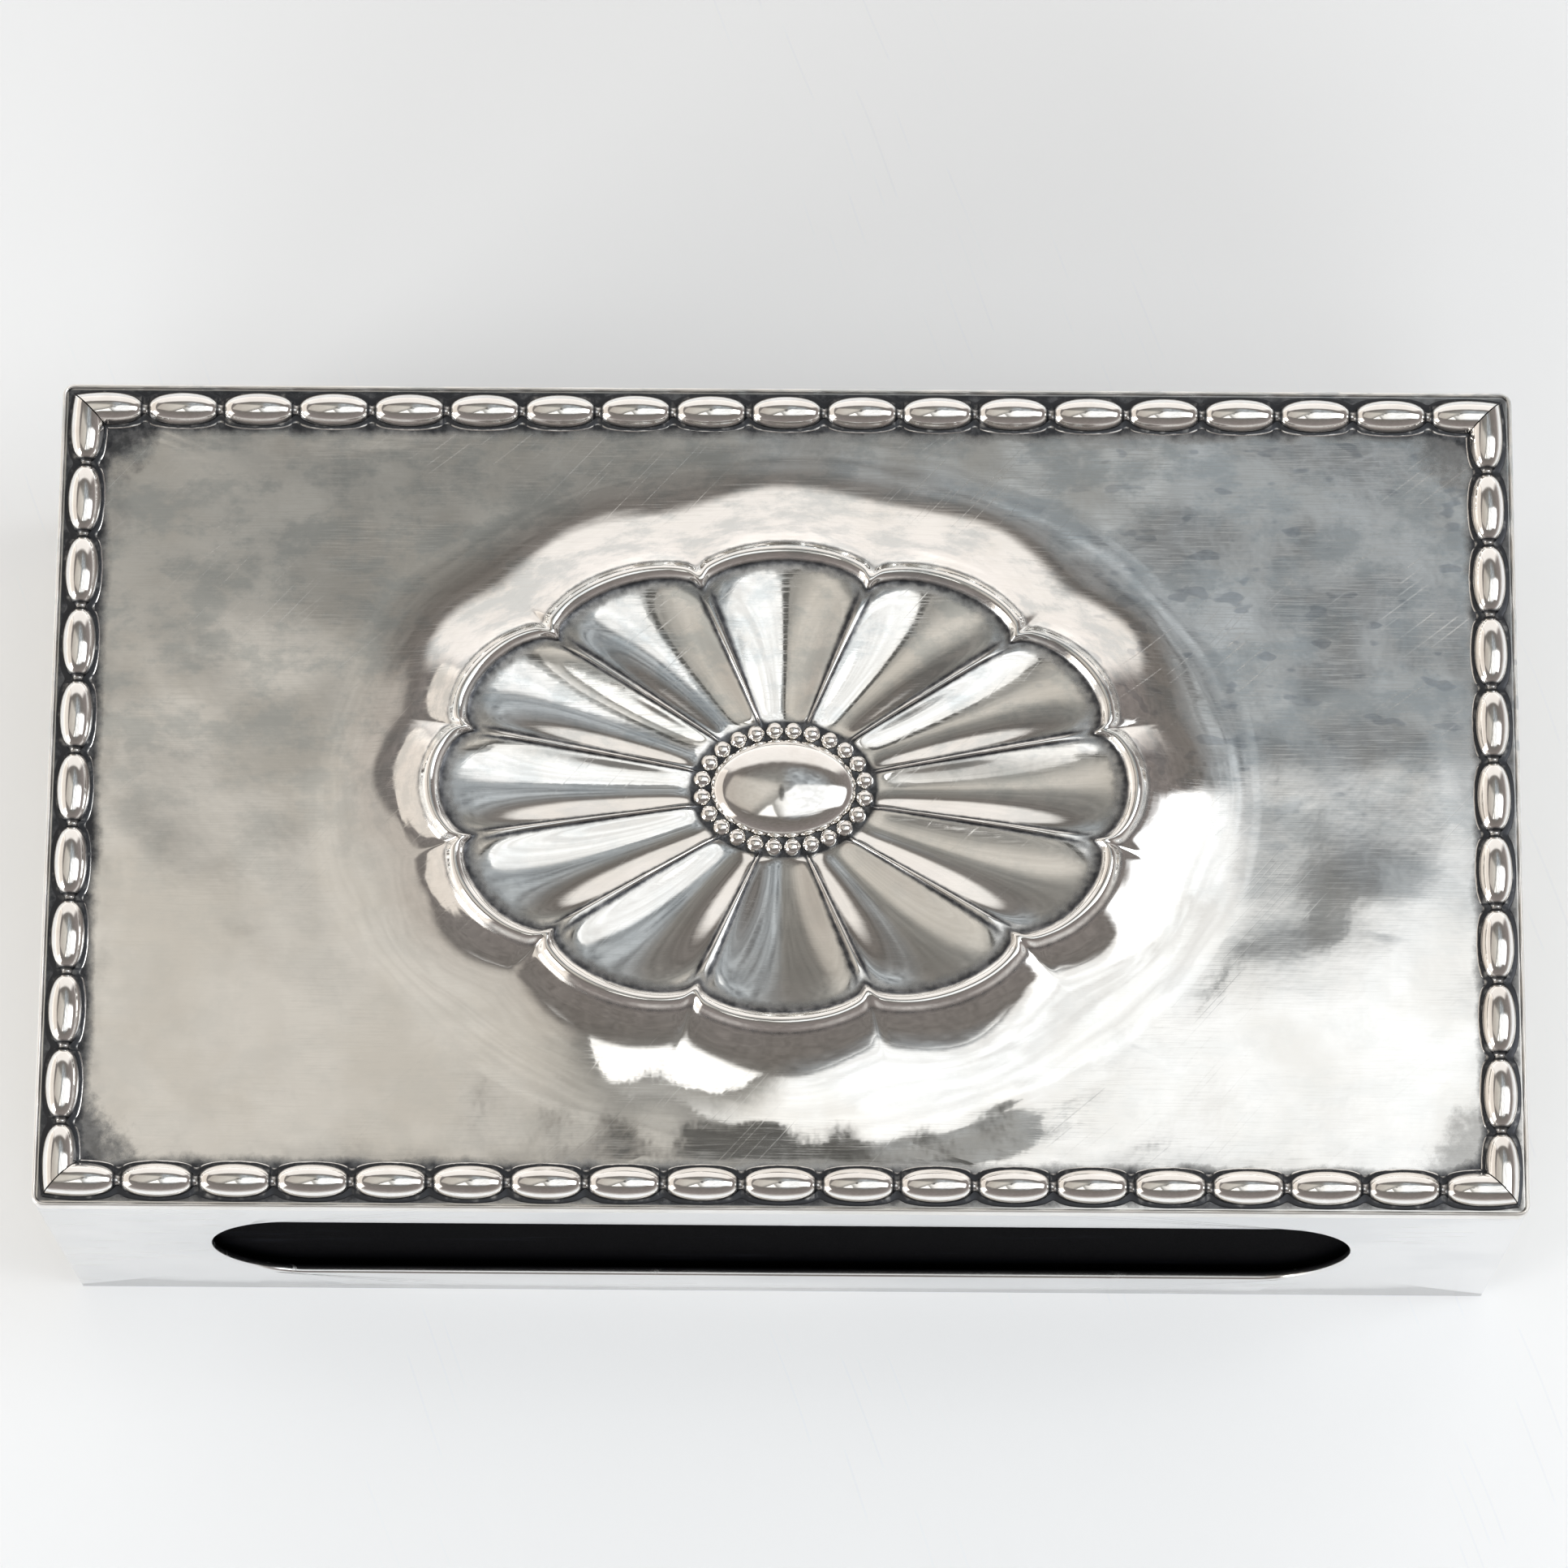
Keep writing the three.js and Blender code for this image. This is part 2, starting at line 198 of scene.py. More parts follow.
# %% Camera
PHOTO_PIXELS = 1932
FOCAL_PIXELS = 7826
SENSOR_WIDTH = 36
CAMERA_TURN = radians(1.14)
CAMERA_RISE = radians(74.79)
CAMERA_ROLL = radians(-0.71)
CAMERA_DISTANCE = 559 * MM
CAMERA_AIM = Vector((-0.16, 10.56, 0)) * MM

bpy.ops.object.camera_add()
camera = bpy.context.object
camera.name = "photo_camera"
camera.data.sensor_width = SENSOR_WIDTH
camera.data.lens = FOCAL_PIXELS / PHOTO_PIXELS * SENSOR_WIDTH
camera.matrix_world = (
    Matrix.Translation(CAMERA_AIM)
    @ Matrix.Rotation(CAMERA_TURN, 4, "Z")
    @ Matrix.Rotation(pi / 2 - CAMERA_RISE, 4, "X")
    @ Matrix.Rotation(CAMERA_ROLL, 4, "Z")
    @ Matrix.Translation((0, 0, CAMERA_DISTANCE))
)
bpy.context.scene.camera = camera
bpy.context.scene.view_settings.view_transform = "Standard"
print("Lens:", round(camera.data.lens, 1), "mm")

# %% [markdown]
# ## Light
# Polished silver shows hardly any colour of its own: it shows the studio. The beads in the photograph are
# small curved mirrors that tell where things stood: softboxes overhead, white to the right and cream to
# the left, a cream sweep behind and a cream panel on the left. A picture of a studio could be wrapped
# round the scene, but area lamps with soft edges can be moved one at a time. The fill in front is there
# for floor and card, and the silver doesn't mirror it.

# %% Helpers for nodes
def put(tree, kind, sockets, **settings):
    made = tree.nodes.new("ShaderNode" + kind)
    for setting, value in settings.items():
        setattr(made, setting, value)
    for socket, value in sockets.items():
        if isinstance(value, bpy.types.NodeSocket):
            tree.links.new(value, made.inputs[socket])
        else:
            is_colour = made.inputs[socket].type == "RGBA"
            made.inputs[socket].default_value = (*value, 1) if is_colour else value
    return made


def plug(target, socket, value):
    target.id_data.links.new(value, target.inputs[socket])


def maths(operation, *values):
    tree = next(value.id_data for value in values if isinstance(value, bpy.types.NodeSocket))
    return put(tree, "Math", dict(enumerate(values)), operation=operation).outputs["Value"]


plus = partial(maths, "ADD")
minus = partial(maths, "SUBTRACT")
times = partial(maths, "MULTIPLY")
scaled = partial(maths, "MULTIPLY_ADD")
larger = partial(maths, "MAXIMUM")
smaller = partial(maths, "MINIMUM")
size_of = partial(maths, "ABSOLUTE")


def fade(value, start, end):
    sockets = {"Value": value, "From Min": start, "From Max": end}
    return put(value.id_data, "MapRange", sockets, interpolation_type="SMOOTHSTEP").outputs["Result"]


def vectors(operation, first, second):
    return put(first.id_data, "VectorMath", {0: first, 1: second}, operation=operation).outputs["Vector"]


def axes_of(vector):
    return put(vector.id_data, "SeparateXYZ", {"Vector": vector}).outputs


def noise(place, scale, detail=3, roughness=0.5):
    sockets = {"Vector": place, "Scale": scale, "Detail": detail, "Roughness": roughness}
    return put(place.id_data, "TexNoise", sockets).outputs["Fac"]


# %% Softboxes
def softbox(name, size, place, radiance, colour, soft_edge, aim=None, turn=0.0, mirrored=True):
    below = (place[0], place[1], 0.0)
    bpy.ops.object.light_add(type="AREA", location=place)
    lamp = bpy.context.object
    lamp.name = name
    lamp.data.shape = "RECTANGLE"
    lamp.data.size, lamp.data.size_y = size
    lamp.data.color = colour
    lamp.data.energy = radiance * pi * size[0] * size[1]
    facing = (Vector(place) - Vector(aim or below)).to_track_quat("Z", "Y").to_matrix()
    lamp.rotation_euler = (facing @ Matrix.Rotation(turn, 3, "Z")).to_euler()
    lamp.visible_camera = False
    lamp.visible_glossy = mirrored
    lamp.data.use_nodes = True
    tree = lamp.data.node_tree
    across = axes_of(put(tree, "NewGeometry", {}).outputs["Parametric"])
    strength = 1.0
    for axis in "XY":
        from_middle = size_of(minus(across[axis], 0.5))
        strength = times(strength, fade(from_middle, 0.5, 0.5 - soft_edge))
    plug(tree.nodes["Emission"], "Strength", strength)
    print(name, "at", place)
    return lamp


CREAM = (1.0, 0.92, 0.82)
PALE_CREAM = (1.0, 0.97, 0.93)
WHITE = (1.0, 0.99, 0.97)
COOL = (0.96, 0.98, 1.0)
CASE = (0.0, 0.0, 0.0)
TOP = 0.8
left_lamp = softbox(
    "top_left_softbox", (0.8, 0.8), (-0.455, 0.048, TOP), 0.34, CREAM, 0.18, turn=radians(-30)
)
right_lamp = softbox(
    "top_right_softbox", (1.26, 0.65), (0.53, -0.07, TOP), 0.71, WHITE, 0.08, turn=radians(6)
)
softbox("front_top_softbox", (1.1, 0.36), (0.0, -0.29, TOP), 1.1, WHITE, 0.2)
softbox("right_softbox", (0.8, 0.8), (0.85, -0.05, 0.9), 3.0, COOL, 0.25, aim=CASE)
softbox("back_sweep", (3.2, 1.6), (0.0, 1.2, 0.72), 0.74, PALE_CREAM, 0.2, aim=(0.0, 0.0, 0.72))
softbox("left_panel", (2.4, 1.1), (-1.2, 0.0, 0.4), 0.6, CREAM, 0.05, aim=(0.0, 0.0, 0.4))
softbox("left_softbox", (0.5, 0.4), (-1.0, -0.55, 0.42), 8.0, WHITE, 0.2, aim=CASE)
softbox("front_fill", (2.4, 0.8), (0.0, -1.3, 0.6), 3.0, COOL, 0.2, aim=CASE, mirrored=False)

# %% [markdown]
# ## Room and lamp arm
# The silver also shows a dark arm among the lamps, as a dark patch in front of the ornament. A solid arm
# would throw a shadow too, so the arm is only taken out of the two top lamps. The image of a lamp lets
# the room shine through, so the room is darker in that direction as well. The room is a world whose tone
# changes with height, dim and warm, but cool overhead on the right, where bluish clouds show.

# %% Arm in front of the top lamps
ARM_SPOT = (-0.014, 0.03)
ARM_REACH = (0.023, 0.11)
for lamp in (left_lamp, right_lamp):
    tree = lamp.data.node_tree
    spot = axes_of(put(tree, "NewGeometry", {}).outputs["Position"])
    from_arm = 0.0
    for axis, middle, reach in zip("XY", ARM_SPOT, ARM_REACH):
        offset = scaled(spot[axis], 1 / reach, -middle / reach)
        from_arm = scaled(offset, offset, from_arm)
    emission = tree.nodes["Emission"]
    strength = emission.inputs["Strength"].links[0].from_socket
    plug(emission, "Strength", times(strength, fade(from_arm, 0.85, 1.2)))
print("The arm hides", [round(2 * reach / MM) for reach in ARM_REACH], "mm of the top lamps")

# %% Tones of the room
def ramp(factor, stops):
    made = put(factor.id_data, "ValToRGB", {"Fac": factor})
    elements = made.color_ramp.elements
    while len(elements) < len(stops):
        elements.new(0.5)
    for element, (position, colour) in zip(elements, stops):
        element.position = position
        element.color = (*colour, 1)
    return made.outputs["Color"]


def mix(factor, first, second):
    return put(factor.id_data, "Mix", {0: factor, 6: first, 7: second}, data_type="RGBA").outputs[2]


room = bpy.data.worlds.new("room")
room.use_nodes = True
bpy.context.scene.world = room
tree = room.node_tree
background = tree.nodes["Background"]
sight = put(tree, "TexCoord", {}).outputs["Generated"]
heading = axes_of(sight)
warm_tone = ramp(heading["Z"], [
    (0.0, (0.75, 0.74, 0.72)),
    (0.1, (0.52, 0.49, 0.47)),
    (0.25, (0.26, 0.23, 0.22)),
    (0.8, (0.18, 0.165, 0.152)),
    (0.94, (0.27, 0.265, 0.247)),
    (1.0, (0.36, 0.35, 0.325)),
])
cool_tone = ramp(noise(sight, 12.0, 4), [(0.35, (0.17, 0.187, 0.205)), (0.62, (0.56, 0.605, 0.64))])
overhead = fade(heading["Z"], 0.75, 0.93)
to_right = fade(heading["X"], -0.04, 0.1)
tone = mix(times(times(overhead, to_right), 0.8), warm_tone, cool_tone)
plug(background, "Color", tone)
print("Warm room with", len(tree.nodes), "nodes")

# %% Clouds of the room, and the arm in it
ARM_HEADING = (-0.014, 0.085, 0.996)
ARM_SPREAD = (0.03, 0.145, 1.0)
ARM_TONE = 0.3
clouds = scaled(noise(sight, 23.0, 2), 0.9, 0.55)
offset = vectors("DIVIDE", vectors("SUBTRACT", sight, ARM_HEADING), ARM_SPREAD)
from_arm = put(tree, "VectorMath", {0: offset}, operation="LENGTH").outputs["Value"]
behind_arm = scaled(fade(from_arm, 0.85, 1.15), 1 - ARM_TONE, ARM_TONE)
plug(background, "Strength", times(clouds, behind_arm))
print("Arm seen towards", ARM_HEADING)

# %% [markdown]
# ## Finishes
# A finish could be a picture wrapped round the piece. A tree of nodes on the piece's own Object
# coordinates needs no file and stays with the piece in every pose. The coordinates are turned into
# millimetres first, so that the depth of a bump and the ends of a fade over a distance are sizes that can
# be measured.

# %% Helpers for finishes
def begin_finish(name, metallic=0.0):
    material = bpy.data.materials.new(name)
    material.use_nodes = True
    tree = material.node_tree
    shader = tree.nodes["Principled BSDF"]
    shader.inputs["Metallic"].default_value = metallic
    place = put(tree, "TexCoord", {}).outputs["Object"]
    in_mm = put(tree, "VectorMath", {0: place, "Scale": 1 / MM}, operation="SCALE").outputs["Vector"]
    return material, shader, in_mm


def stretch(place, scale, turn=0.0):
    turned = put(place.id_data, "VectorRotate", {"Vector": place, "Angle": turn}, rotation_type="Z_AXIS")
    return vectors("MULTIPLY", turned.outputs["Vector"], scale)


def blend_value(factor, first, second):
    return put(factor.id_data, "Mix", {0: factor, 2: first, 3: second}, data_type="FLOAT").outputs[0]


def bump(height, depth, under=None):
    sockets = {"Height": height, "Distance": depth * MM, "Strength": 1.0}
    if under is not None:
        sockets["Normal"] = under
    return put(height.id_data, "Bump", sockets).outputs["Normal"]


# %% Hairline scratches
def scratch_lines(place, turn, spacing, length, clusters):
    tree = place.id_data
    axes = axes_of(stretch(place, (1 / length, 1 / spacing, 1.0), turn))
    across = scaled(noise(place, 0.03, 1), 3.0, axes["Y"])
    line_number = maths("FLOOR", across)
    chance = put(tree, "TexWhiteNoise", {"W": line_number}, noise_dimensions="1D").outputs["Value"]
    from_line = size_of(minus(maths("FRACT", across), 0.5))
    along = {"W": scaled(chance, 97.0, axes["X"]), "Scale": 1.0, "Detail": 0.0}
    stroke = put(tree, "TexNoise", along, noise_dimensions="1D").outputs["Fac"]
    thin = times(fade(from_line, 0.12, 0.04), fade(stroke, 0.57, 0.66))
    return times(thin, fade(noise(place, clusters, 2), 0.48, 0.6))


# %% [markdown]
# ## Floor
# The case stands on a pale board. More light could make it paler, but would wash out the silver too. So
# the board glows a little to the camera and in reflections, and still takes the shadow.

# %% Floor board
FLOOR_SIZE = 12
FLOOR_GLOW = 0.115
bpy.ops.mesh.primitive_plane_add(size=FLOOR_SIZE)
floor = bpy.context.object
floor.name = "floor"

board, shader, place = begin_finish("floor_board")
mottle = noise(place, 0.012, 3)
specks = times(fade(noise(place, 0.35, 6, 0.7), 0.68, 0.8), 0.5)
marks = larger(specks, scratch_lines(place, radians(70), 1.3, 14.0, 0.02))
floor_tone = mix(mottle, (0.865, 0.888, 0.91), (0.89, 0.912, 0.932))
floor_tone = mix(times(marks, 0.14), floor_tone, (0.6, 0.6, 0.61))
plug(shader, "Base Color", floor_tone)
plug(shader, "Emission Color", floor_tone)
seen = put(shader.id_data, "LightPath", {}).outputs
shown = larger(larger(seen["Is Camera Ray"], seen["Is Glossy Ray"]), seen["Is Transmission Ray"])
plug(shader, "Emission Strength", times(shown, FLOOR_GLOW))
plug(shader, "Roughness", scaled(mottle, 0.1, 0.5))
floor.data.materials.append(board)
print("Pale floor", FLOOR_SIZE, "m wide, with faint marks")

# %% [markdown]
# ## Silver
# Old silver is mirror bright where cloths rub it and nearly black with oxide where they can't reach: in
# the chased lines, in the channel beside the beads and in the corners. The dark could be painted by hand.
# Here it follows a shade kept in the recesses of the mesh and the distance from the border, made ragged
# by noise, so that it keeps to the shape. It thins out towards the front right.
# Polishing has left fine hazy lines along the case, and hairline scratches cross them in clusters.

# %% Oxide along the border and in the corners
BRIGHT = (0.955, 0.945, 0.925)
CLOUDED = (0.80, 0.775, 0.73)
FILMED_AND_SHADED = (0.70, 0.725, 0.725)
FLECKED_AND_REFLECTED = (0.46, 0.49, 0.52)
OXIDE = (0.06, 0.063, 0.07)
THIN_OXIDE = (0.17, 0.175, 0.185)
BORDER_FADE = (1.2, 0.0)
SMUDGE_FADE = (2.6, -0.6)
CORNER_FADE = (7.6, 3.2)


def from_sides_of(axes, halves):
    return [minus(half, size_of(axes[axis])) for axis, half in zip("XY", halves)]


field_silver, shader, place = begin_finish("field_silver", metallic=1.0)
axes = axes_of(place)
from_ends, from_sides = from_sides_of(axes, field_half)
from_border = maths("SMOOTH_MIN", from_ends, from_sides, 5.0)
ragged = scaled(noise(place, 0.3, 6, 0.65), 4.0, -2.0)
# Oxide thins out from the back left towards the front right.
towards_front_right = fade(scaled(axes["X"], 0.6, times(axes["Y"], -1.0)), -25.0, 40.0)
dark_border = fade(scaled(ragged, 0.5, scaled(towards_front_right, 0.5, from_border)), *BORDER_FADE)
smudge = times(fade(noise(place, 0.11, 4, 0.6), 0.42, 0.62), scaled(towards_front_right, -0.3, 0.5))
soft_border = times(fade(plus(from_border, ragged), *SMUDGE_FADE), smudge)
frayed = scaled(noise(place, 0.9, 5, 0.7), 5.0, scaled(ragged, 2.2, -2.5))
from_corner = plus(plus(from_ends, from_sides), frayed)
dark_corner = times(fade(from_corner, *CORNER_FADE), scaled(towards_front_right, -0.55, 0.95))
border_oxide = larger(larger(dark_border, dark_corner), soft_border)
print("Oxide fades within", BORDER_FADE[0], "mm of the border and", CORNER_FADE[0], "mm of a corner")

# %% Oxide in the recesses, and the rubbed lip
CHANNEL_FADE = (-2.4, -3.3)
LIP_FADE = 0.14


def painted_shade(shader):
    return put(shader.id_data, "Attribute", {}, attribute_name="recess_shade").outputs["Fac"]


to_edge = smaller(from_ends, from_sides)
wear = scaled(noise(place, 1.1, 4, 0.65), 1.4, plus(to_edge, -0.7))
worn_patches = fade(noise(place, 0.06, 3), 0.38, 0.6)
worn_channel = times(times(fade(wear, *CHANNEL_FADE), worn_patches), towards_front_right)
in_channel = minus(1.0, times(worn_channel, 0.75))
inside_lip = plus(to_edge, BEAD_INSET + BEAD_RADIUS - LIP_WIDTH)
below_lip = times(in_channel, fade(inside_lip, 0.0, LIP_FADE))
recess = fade(scaled(noise(place, 1.6, 4), 0.35, painted_shade(shader)), 0.42, 0.95)
oxide = larger(times(border_oxide, below_lip), recess)
oxide_tone = mix(fade(noise(place, 0.7, 5, 0.7), 0.4, 0.66), OXIDE, THIN_OXIDE)
rubbed_lip = fade(inside_lip, 0.04, -0.04)
print("Lip rubbed bright over", LIP_WIDTH, "mm")

# %% Polish of the cover
brushed = noise(stretch(place, (0.25, 8.0, 1.0)), 1.0, 3, 0.6)
upper_half = fade(axes["Y"], -14.0, 12.0)
hazy_lines = times(fade(brushed, 0.44, 0.68), scaled(upper_half, 0.5, 0.5))
cloud = fade(noise(place, 0.09, 3, 0.6), 0.42, 0.64)
# A bluish film of tarnish, painted stronger on the upper half of the field, where the silver mirrors the
# dim room: partly real film, partly painted shade.
film_and_painted_shade = fade(noise(stretch(place, (0.2, 0.3, 1.0)), 1.0, 6, 0.65), 0.44, 0.62)
film_and_painted_shade = times(film_and_painted_shade, scaled(upper_half, 0.8, 0.2))
# Grey-blue flecks kept to the upper right, where the silver mirrors the cool room overhead: partly tarnish,
# partly a painted reflection of that room.
flecks_and_reflection = fade(noise(stretch(place, (0.28, 0.55, 1.0)), 1.0, 2), 0.6, 0.66)
flecks_and_reflection = times(flecks_and_reflection, times(upper_half, fade(axes["X"], 10.0, 35.0)))
tone = mix(times(cloud, 0.5), BRIGHT, CLOUDED)
tone = mix(times(film_and_painted_shade, 0.9), tone, FILMED_AND_SHADED)
tone = mix(times(flecks_and_reflection, 0.6), tone, FLECKED_AND_REFLECTED)
tone = mix(times(hazy_lines, 0.15), tone, CLOUDED)
plug(shader, "Base Color", mix(oxide, tone, oxide_tone))

long_scratches = scratch_lines(place, radians(-48), 0.45, 11.0, 0.05)
short_scratches = scratch_lines(place, radians(-40), 0.7, 8.0, 0.06)
scratches = times(larger(long_scratches, short_scratches), scaled(upper_half, 0.7, 0.3))
polish = scaled(film_and_painted_shade, 0.03, scaled(hazy_lines, 0.11, 0.04))
polish = blend_value(rubbed_lip, scaled(scratches, 0.15, polish), 0.4)
plug(shader, "Roughness", blend_value(oxide, polish, 0.42))
dents = bump(noise(place, 0.3, 3), 0.012)
lines = bump(brushed, 0.0007, dents)
plug(shader, "Normal", bump(scratches, -0.0005, lines))
print("Brushed lines along the case, two sets of scratches")

# %% [markdown]
# ## Silver of the beads and walls
# The beads are bright on top and dark low down and at their necks, apart from the inner rim of their
# foot, which a cloth just reaches. The walls are plain: brushed lengthwise, a little cloudy and never
# quite flat. One tree could serve all the silver, but here the dark follows height.

# %% Silver of the beads
RUBBED = (0.9, 0.88, 0.85)
OXIDE_HEIGHT = (0.36, 0.1)
bead_silver, shader, place = begin_finish("bead_silver", metallic=1.0)
axes = axes_of(place)
height = minus(axes["Z"], FIELD)
outer_side = fade(smaller(*from_sides_of(axes, bead_line)), 0.3, 0.0)
grain = noise(place, 1.2, 4)
worn_rim = larger(fade(scaled(grain, 0.06, height), 0.06, 0.1), outer_side)
low_oxide = times(fade(scaled(grain, 0.4, plus(height, -0.2)), *OXIDE_HEIGHT), worn_rim)
neck_oxide = fade(scaled(grain, 0.3, painted_shade(shader)), 0.5, 0.95)
oxide = larger(low_oxide, neck_oxide)
rubbed = mix(fade(noise(place, 0.5, 3), 0.4, 0.7), BRIGHT, RUBBED)
plug(shader, "Base Color", mix(oxide, rubbed, OXIDE))
plug(shader, "Roughness", blend_value(oxide, scaled(grain, 0.08, 0.04), 0.4))
plug(shader, "Normal", bump(noise(place, 0.55, 2), 0.015))
print("Beads dark below", OXIDE_HEIGHT[0], "mm")

# %% Silver of the walls and base
wall_silver, shader, place = begin_finish("wall_silver", metallic=1.0)
brushed = noise(stretch(place, (0.12, 1.0, 7.0)), 1.0, 3)
cloud = fade(noise(place, 0.07, 3), 0.4, 0.65)
plug(shader, "Base Color", mix(cloud, (0.865, 0.867, 0.867), (0.785, 0.792, 0.797)))
upright = put(shader.id_data, "VectorRotate", {"Vector": place, "Angle": pi / 2}, rotation_type="X_AXIS")
scratches = scratch_lines(upright.outputs["Vector"], radians(8), 0.8, 12.0, 0.05)
plug(shader, "Roughness", scaled(scratches, 0.25, scaled(brushed, 0.16, 0.12)))
waves = bump(noise(place, 0.05, 1), 0.05)
plug(shader, "Normal", bump(brushed, 0.0015, waves))
print("Walls brushed lengthwise")

# %% [markdown]
# ## Striking strip, card, wood and head paste
# The strip is a black coat with fine grit and smears of dust, made blacker and duller than a real coat as
# painted shade of the dark inside of the case. The card is grey board with short fibres, the aspen has
# straight grain along the stick, and the head paste is a dull red-brown with a speckle of filler. Each
# could have a picture for its grain.
# Noises, stretched along the fibres where there are any, do it at any scale.

# %% Striking coat
striking_coat, shader, place = begin_finish("striking_coat")
grit = noise(place, 9.0, 2)
smear = fade(noise(stretch(place, (0.05, 1.0, 0.3)), 1.0, 4, 0.65), 0.55, 0.8)
# Near-black and nearly without specular: the coat's own black deepened into painted shade of the dark
# inside of the case.
plug(shader, "Base Color", mix(smear, (0.0015, 0.0015, 0.002), (0.008, 0.009, 0.012)))
plug(shader, "Roughness", scaled(grit, 0.3, 0.6))
plug(shader, "Normal", bump(grit, 0.03))
shader.inputs["Specular IOR Level"].default_value = 0.01
print("Black coat with smears of dust")

# %% Card
card, shader, place = begin_finish("card")
fibres = noise(stretch(place, (0.8, 3.0, 3.0)), 1.0, 4, 0.6)
board_tone = mix(noise(place, 0.12, 3), (0.50, 0.45, 0.37), (0.60, 0.55, 0.46))
plug(shader, "Base Color", mix(fade(fibres, 0.55, 0.75), board_tone, (0.40, 0.35, 0.28)))
plug(shader, "Roughness", scaled(fibres, 0.15, 0.75))
plug(shader, "Normal", bump(fibres, 0.03))
print("Grey board with fibres along the box")

# %% Wood and paste
aspen, shader, place = begin_finish("aspen")
rings_in_wood = noise(stretch(place, (2.2, 0.06, 2.2)), 1.0, 3)
pores = noise(stretch(place, (7.0, 0.5, 7.0)), 1.0, 2)
wood_tone = mix(rings_in_wood, (0.72, 0.56, 0.35), (0.58, 0.41, 0.22))
plug(shader, "Base Color", mix(fade(pores, 0.6, 0.75), wood_tone, (0.42, 0.28, 0.14)))
plug(shader, "Roughness", scaled(pores, 0.2, 0.65))
plug(shader, "Normal", bump(pores, 0.04))

paste, shader, place = begin_finish("head_paste")
speckle = noise(place, 5.0, 3)
paste_tone = mix(noise(place, 0.8, 2), (0.16, 0.025, 0.018), (0.24, 0.04, 0.028))
plug(shader, "Base Color", mix(fade(speckle, 0.6, 0.75), paste_tone, (0.33, 0.12, 0.09)))
plug(shader, "Roughness", scaled(speckle, 0.2, 0.6))
plug(shader, "Normal", bump(speckle, 0.05))
print("Aspen with grain along the stick, paste with a speckle")

# %% [markdown]
# ## Cover: the ornament as a cage of rings
# The cover is one sheet. Its ornament is raised from behind with hammers and chased from the front: an
# oval dish of twelve flutes with a lobed rim, on a soft swelling. It could be sculpted, but then no two
# lobes would be alike. So a cage of rings is drawn out of one circle, ring by ring, as a smith works
# outwards from the middle. Each ring has ten columns to a lobe, close together where the ribs between the
# flutes need a crisp edge, and Subdivision Surface rounds the cage.

# %% Circle with its columns moved towards the ribs
LOBES = 12
COLUMNS_PER_LOBE = 10
LOBE_TURN = 360 / LOBES
EVEN_TURN = LOBE_TURN / COLUMNS_PER_LOBE
COLUMN_TURNS = (0, 5.5, 9.5, 12.6, 13.9, 15)
ACROSS = [turn / (LOBE_TURN / 2) for turn in COLUMN_TURNS]
SAME_TURN = 0.1


def turn_in_lobe(place):
    return (degrees(atan2(place.y, place.x)) + LOBE_TURN / 2) % LOBE_TURN - LOBE_TURN / 2


bpy.ops.mesh.primitive_circle_add(vertices=LOBES * COLUMNS_PER_LOBE, radius=1)
cover = bpy.context.object
edit_mode()
for column in range(1, COLUMNS_PER_LOBE // 2):
    for side in (1, -1):
        even_turn = side * EVEN_TURN * column
        select_where(lambda place: abs(turn_in_lobe(place) - even_turn) < SAME_TURN)
        shift = side * COLUMN_TURNS[column] - even_turn
        bpy.ops.transform.rotate(value=-radians(shift), orient_axis="Z", center_override=(0, 0, 0))
object_mode()
column_of = cover.data.attributes.new("column", "INT", "POINT")
for mark, vertex in zip(column_of.data, cover.data.vertices):
    turn = abs(turn_in_lobe(vertex.co))
    mark.value = min(range(len(COLUMN_TURNS)), key=lambda column: abs(COLUMN_TURNS[column] - turn))
cover.vertex_groups.new(name="recess")
print("Columns of one lobe at", COLUMN_TURNS, "degrees")

# %% Lines of the ornament, seen from above
BOSS_HALF = (6.0, 4.2)
PEARL = 1.5
ROSETTE_HALF = (29.0, 20.0)
LOBE_DEPTH = 2.2
RIM_FOOT = 0.9
SWELL_REACH = 10.45
CUSP_FADE = 4.0


def boss_line(offset):
    return [(BOSS_HALF[0] + offset, BOSS_HALF[1] + offset)] * len(ACROSS)


def rim_line(offset):
    depth = LOBE_DEPTH * (1 - max(offset, 0) / SWELL_REACH) ** 2
    soft = min(max(offset / CUSP_FADE, 0), 1)
    insets = []
    for share in ACROSS:
        arc = 1 - sqrt(1 - share ** 2)
        wave = (1 - cos(pi * share)) / 2
        insets.append(depth * (arc + (wave - arc) * soft))
    return [(ROSETTE_HALF[0] + offset - inset, ROSETTE_HALF[1] + offset - inset) for inset in insets]


def flute_line(share):
    pairs = zip(boss_line(PEARL), rim_line(-RIM_FOOT))
    return [tuple(a + (b - a) * share for a, b in zip(inner, outer)) for inner, outer in pairs]


print("Ornament", [2 * half for half in ROSETTE_HALF], "mm over the lobes")

# %% Heights of the ornament
SEAT_HEIGHT = 1.2
RIM_FOOT_HEIGHT = 2.7
DISH_RISE = 1.7
ARRIS_HEIGHT = 0.9
ARRIS_START = 0.12
ARRIS_END = 0.92
GROOVE = (0, 0, 0, 0.0, -0.13, 0.06)
SWELL_FALL = 2.3


def level(height):
    return [height] * len(ACROSS)


def flute_heights(share):
    floor_height = SEAT_HEIGHT + (RIM_FOOT_HEIGHT - SEAT_HEIGHT) * share ** DISH_RISE
    arris = ARRIS_HEIGHT * sin(pi * (ARRIS_START + (ARRIS_END - ARRIS_START) * share))
    return [floor_height + arris * across ** 2 + groove for across, groove in zip(ACROSS, GROOVE)]


def swell_height(offset):
    share = (offset - RIM_FOOT) / (SWELL_REACH - RIM_FOOT)
    return RIM_FOOT_HEIGHT * (1 - share) ** SWELL_FALL


print("Flute half way out:", [round(height, 2) for height in flute_heights(0.5)], "mm high")

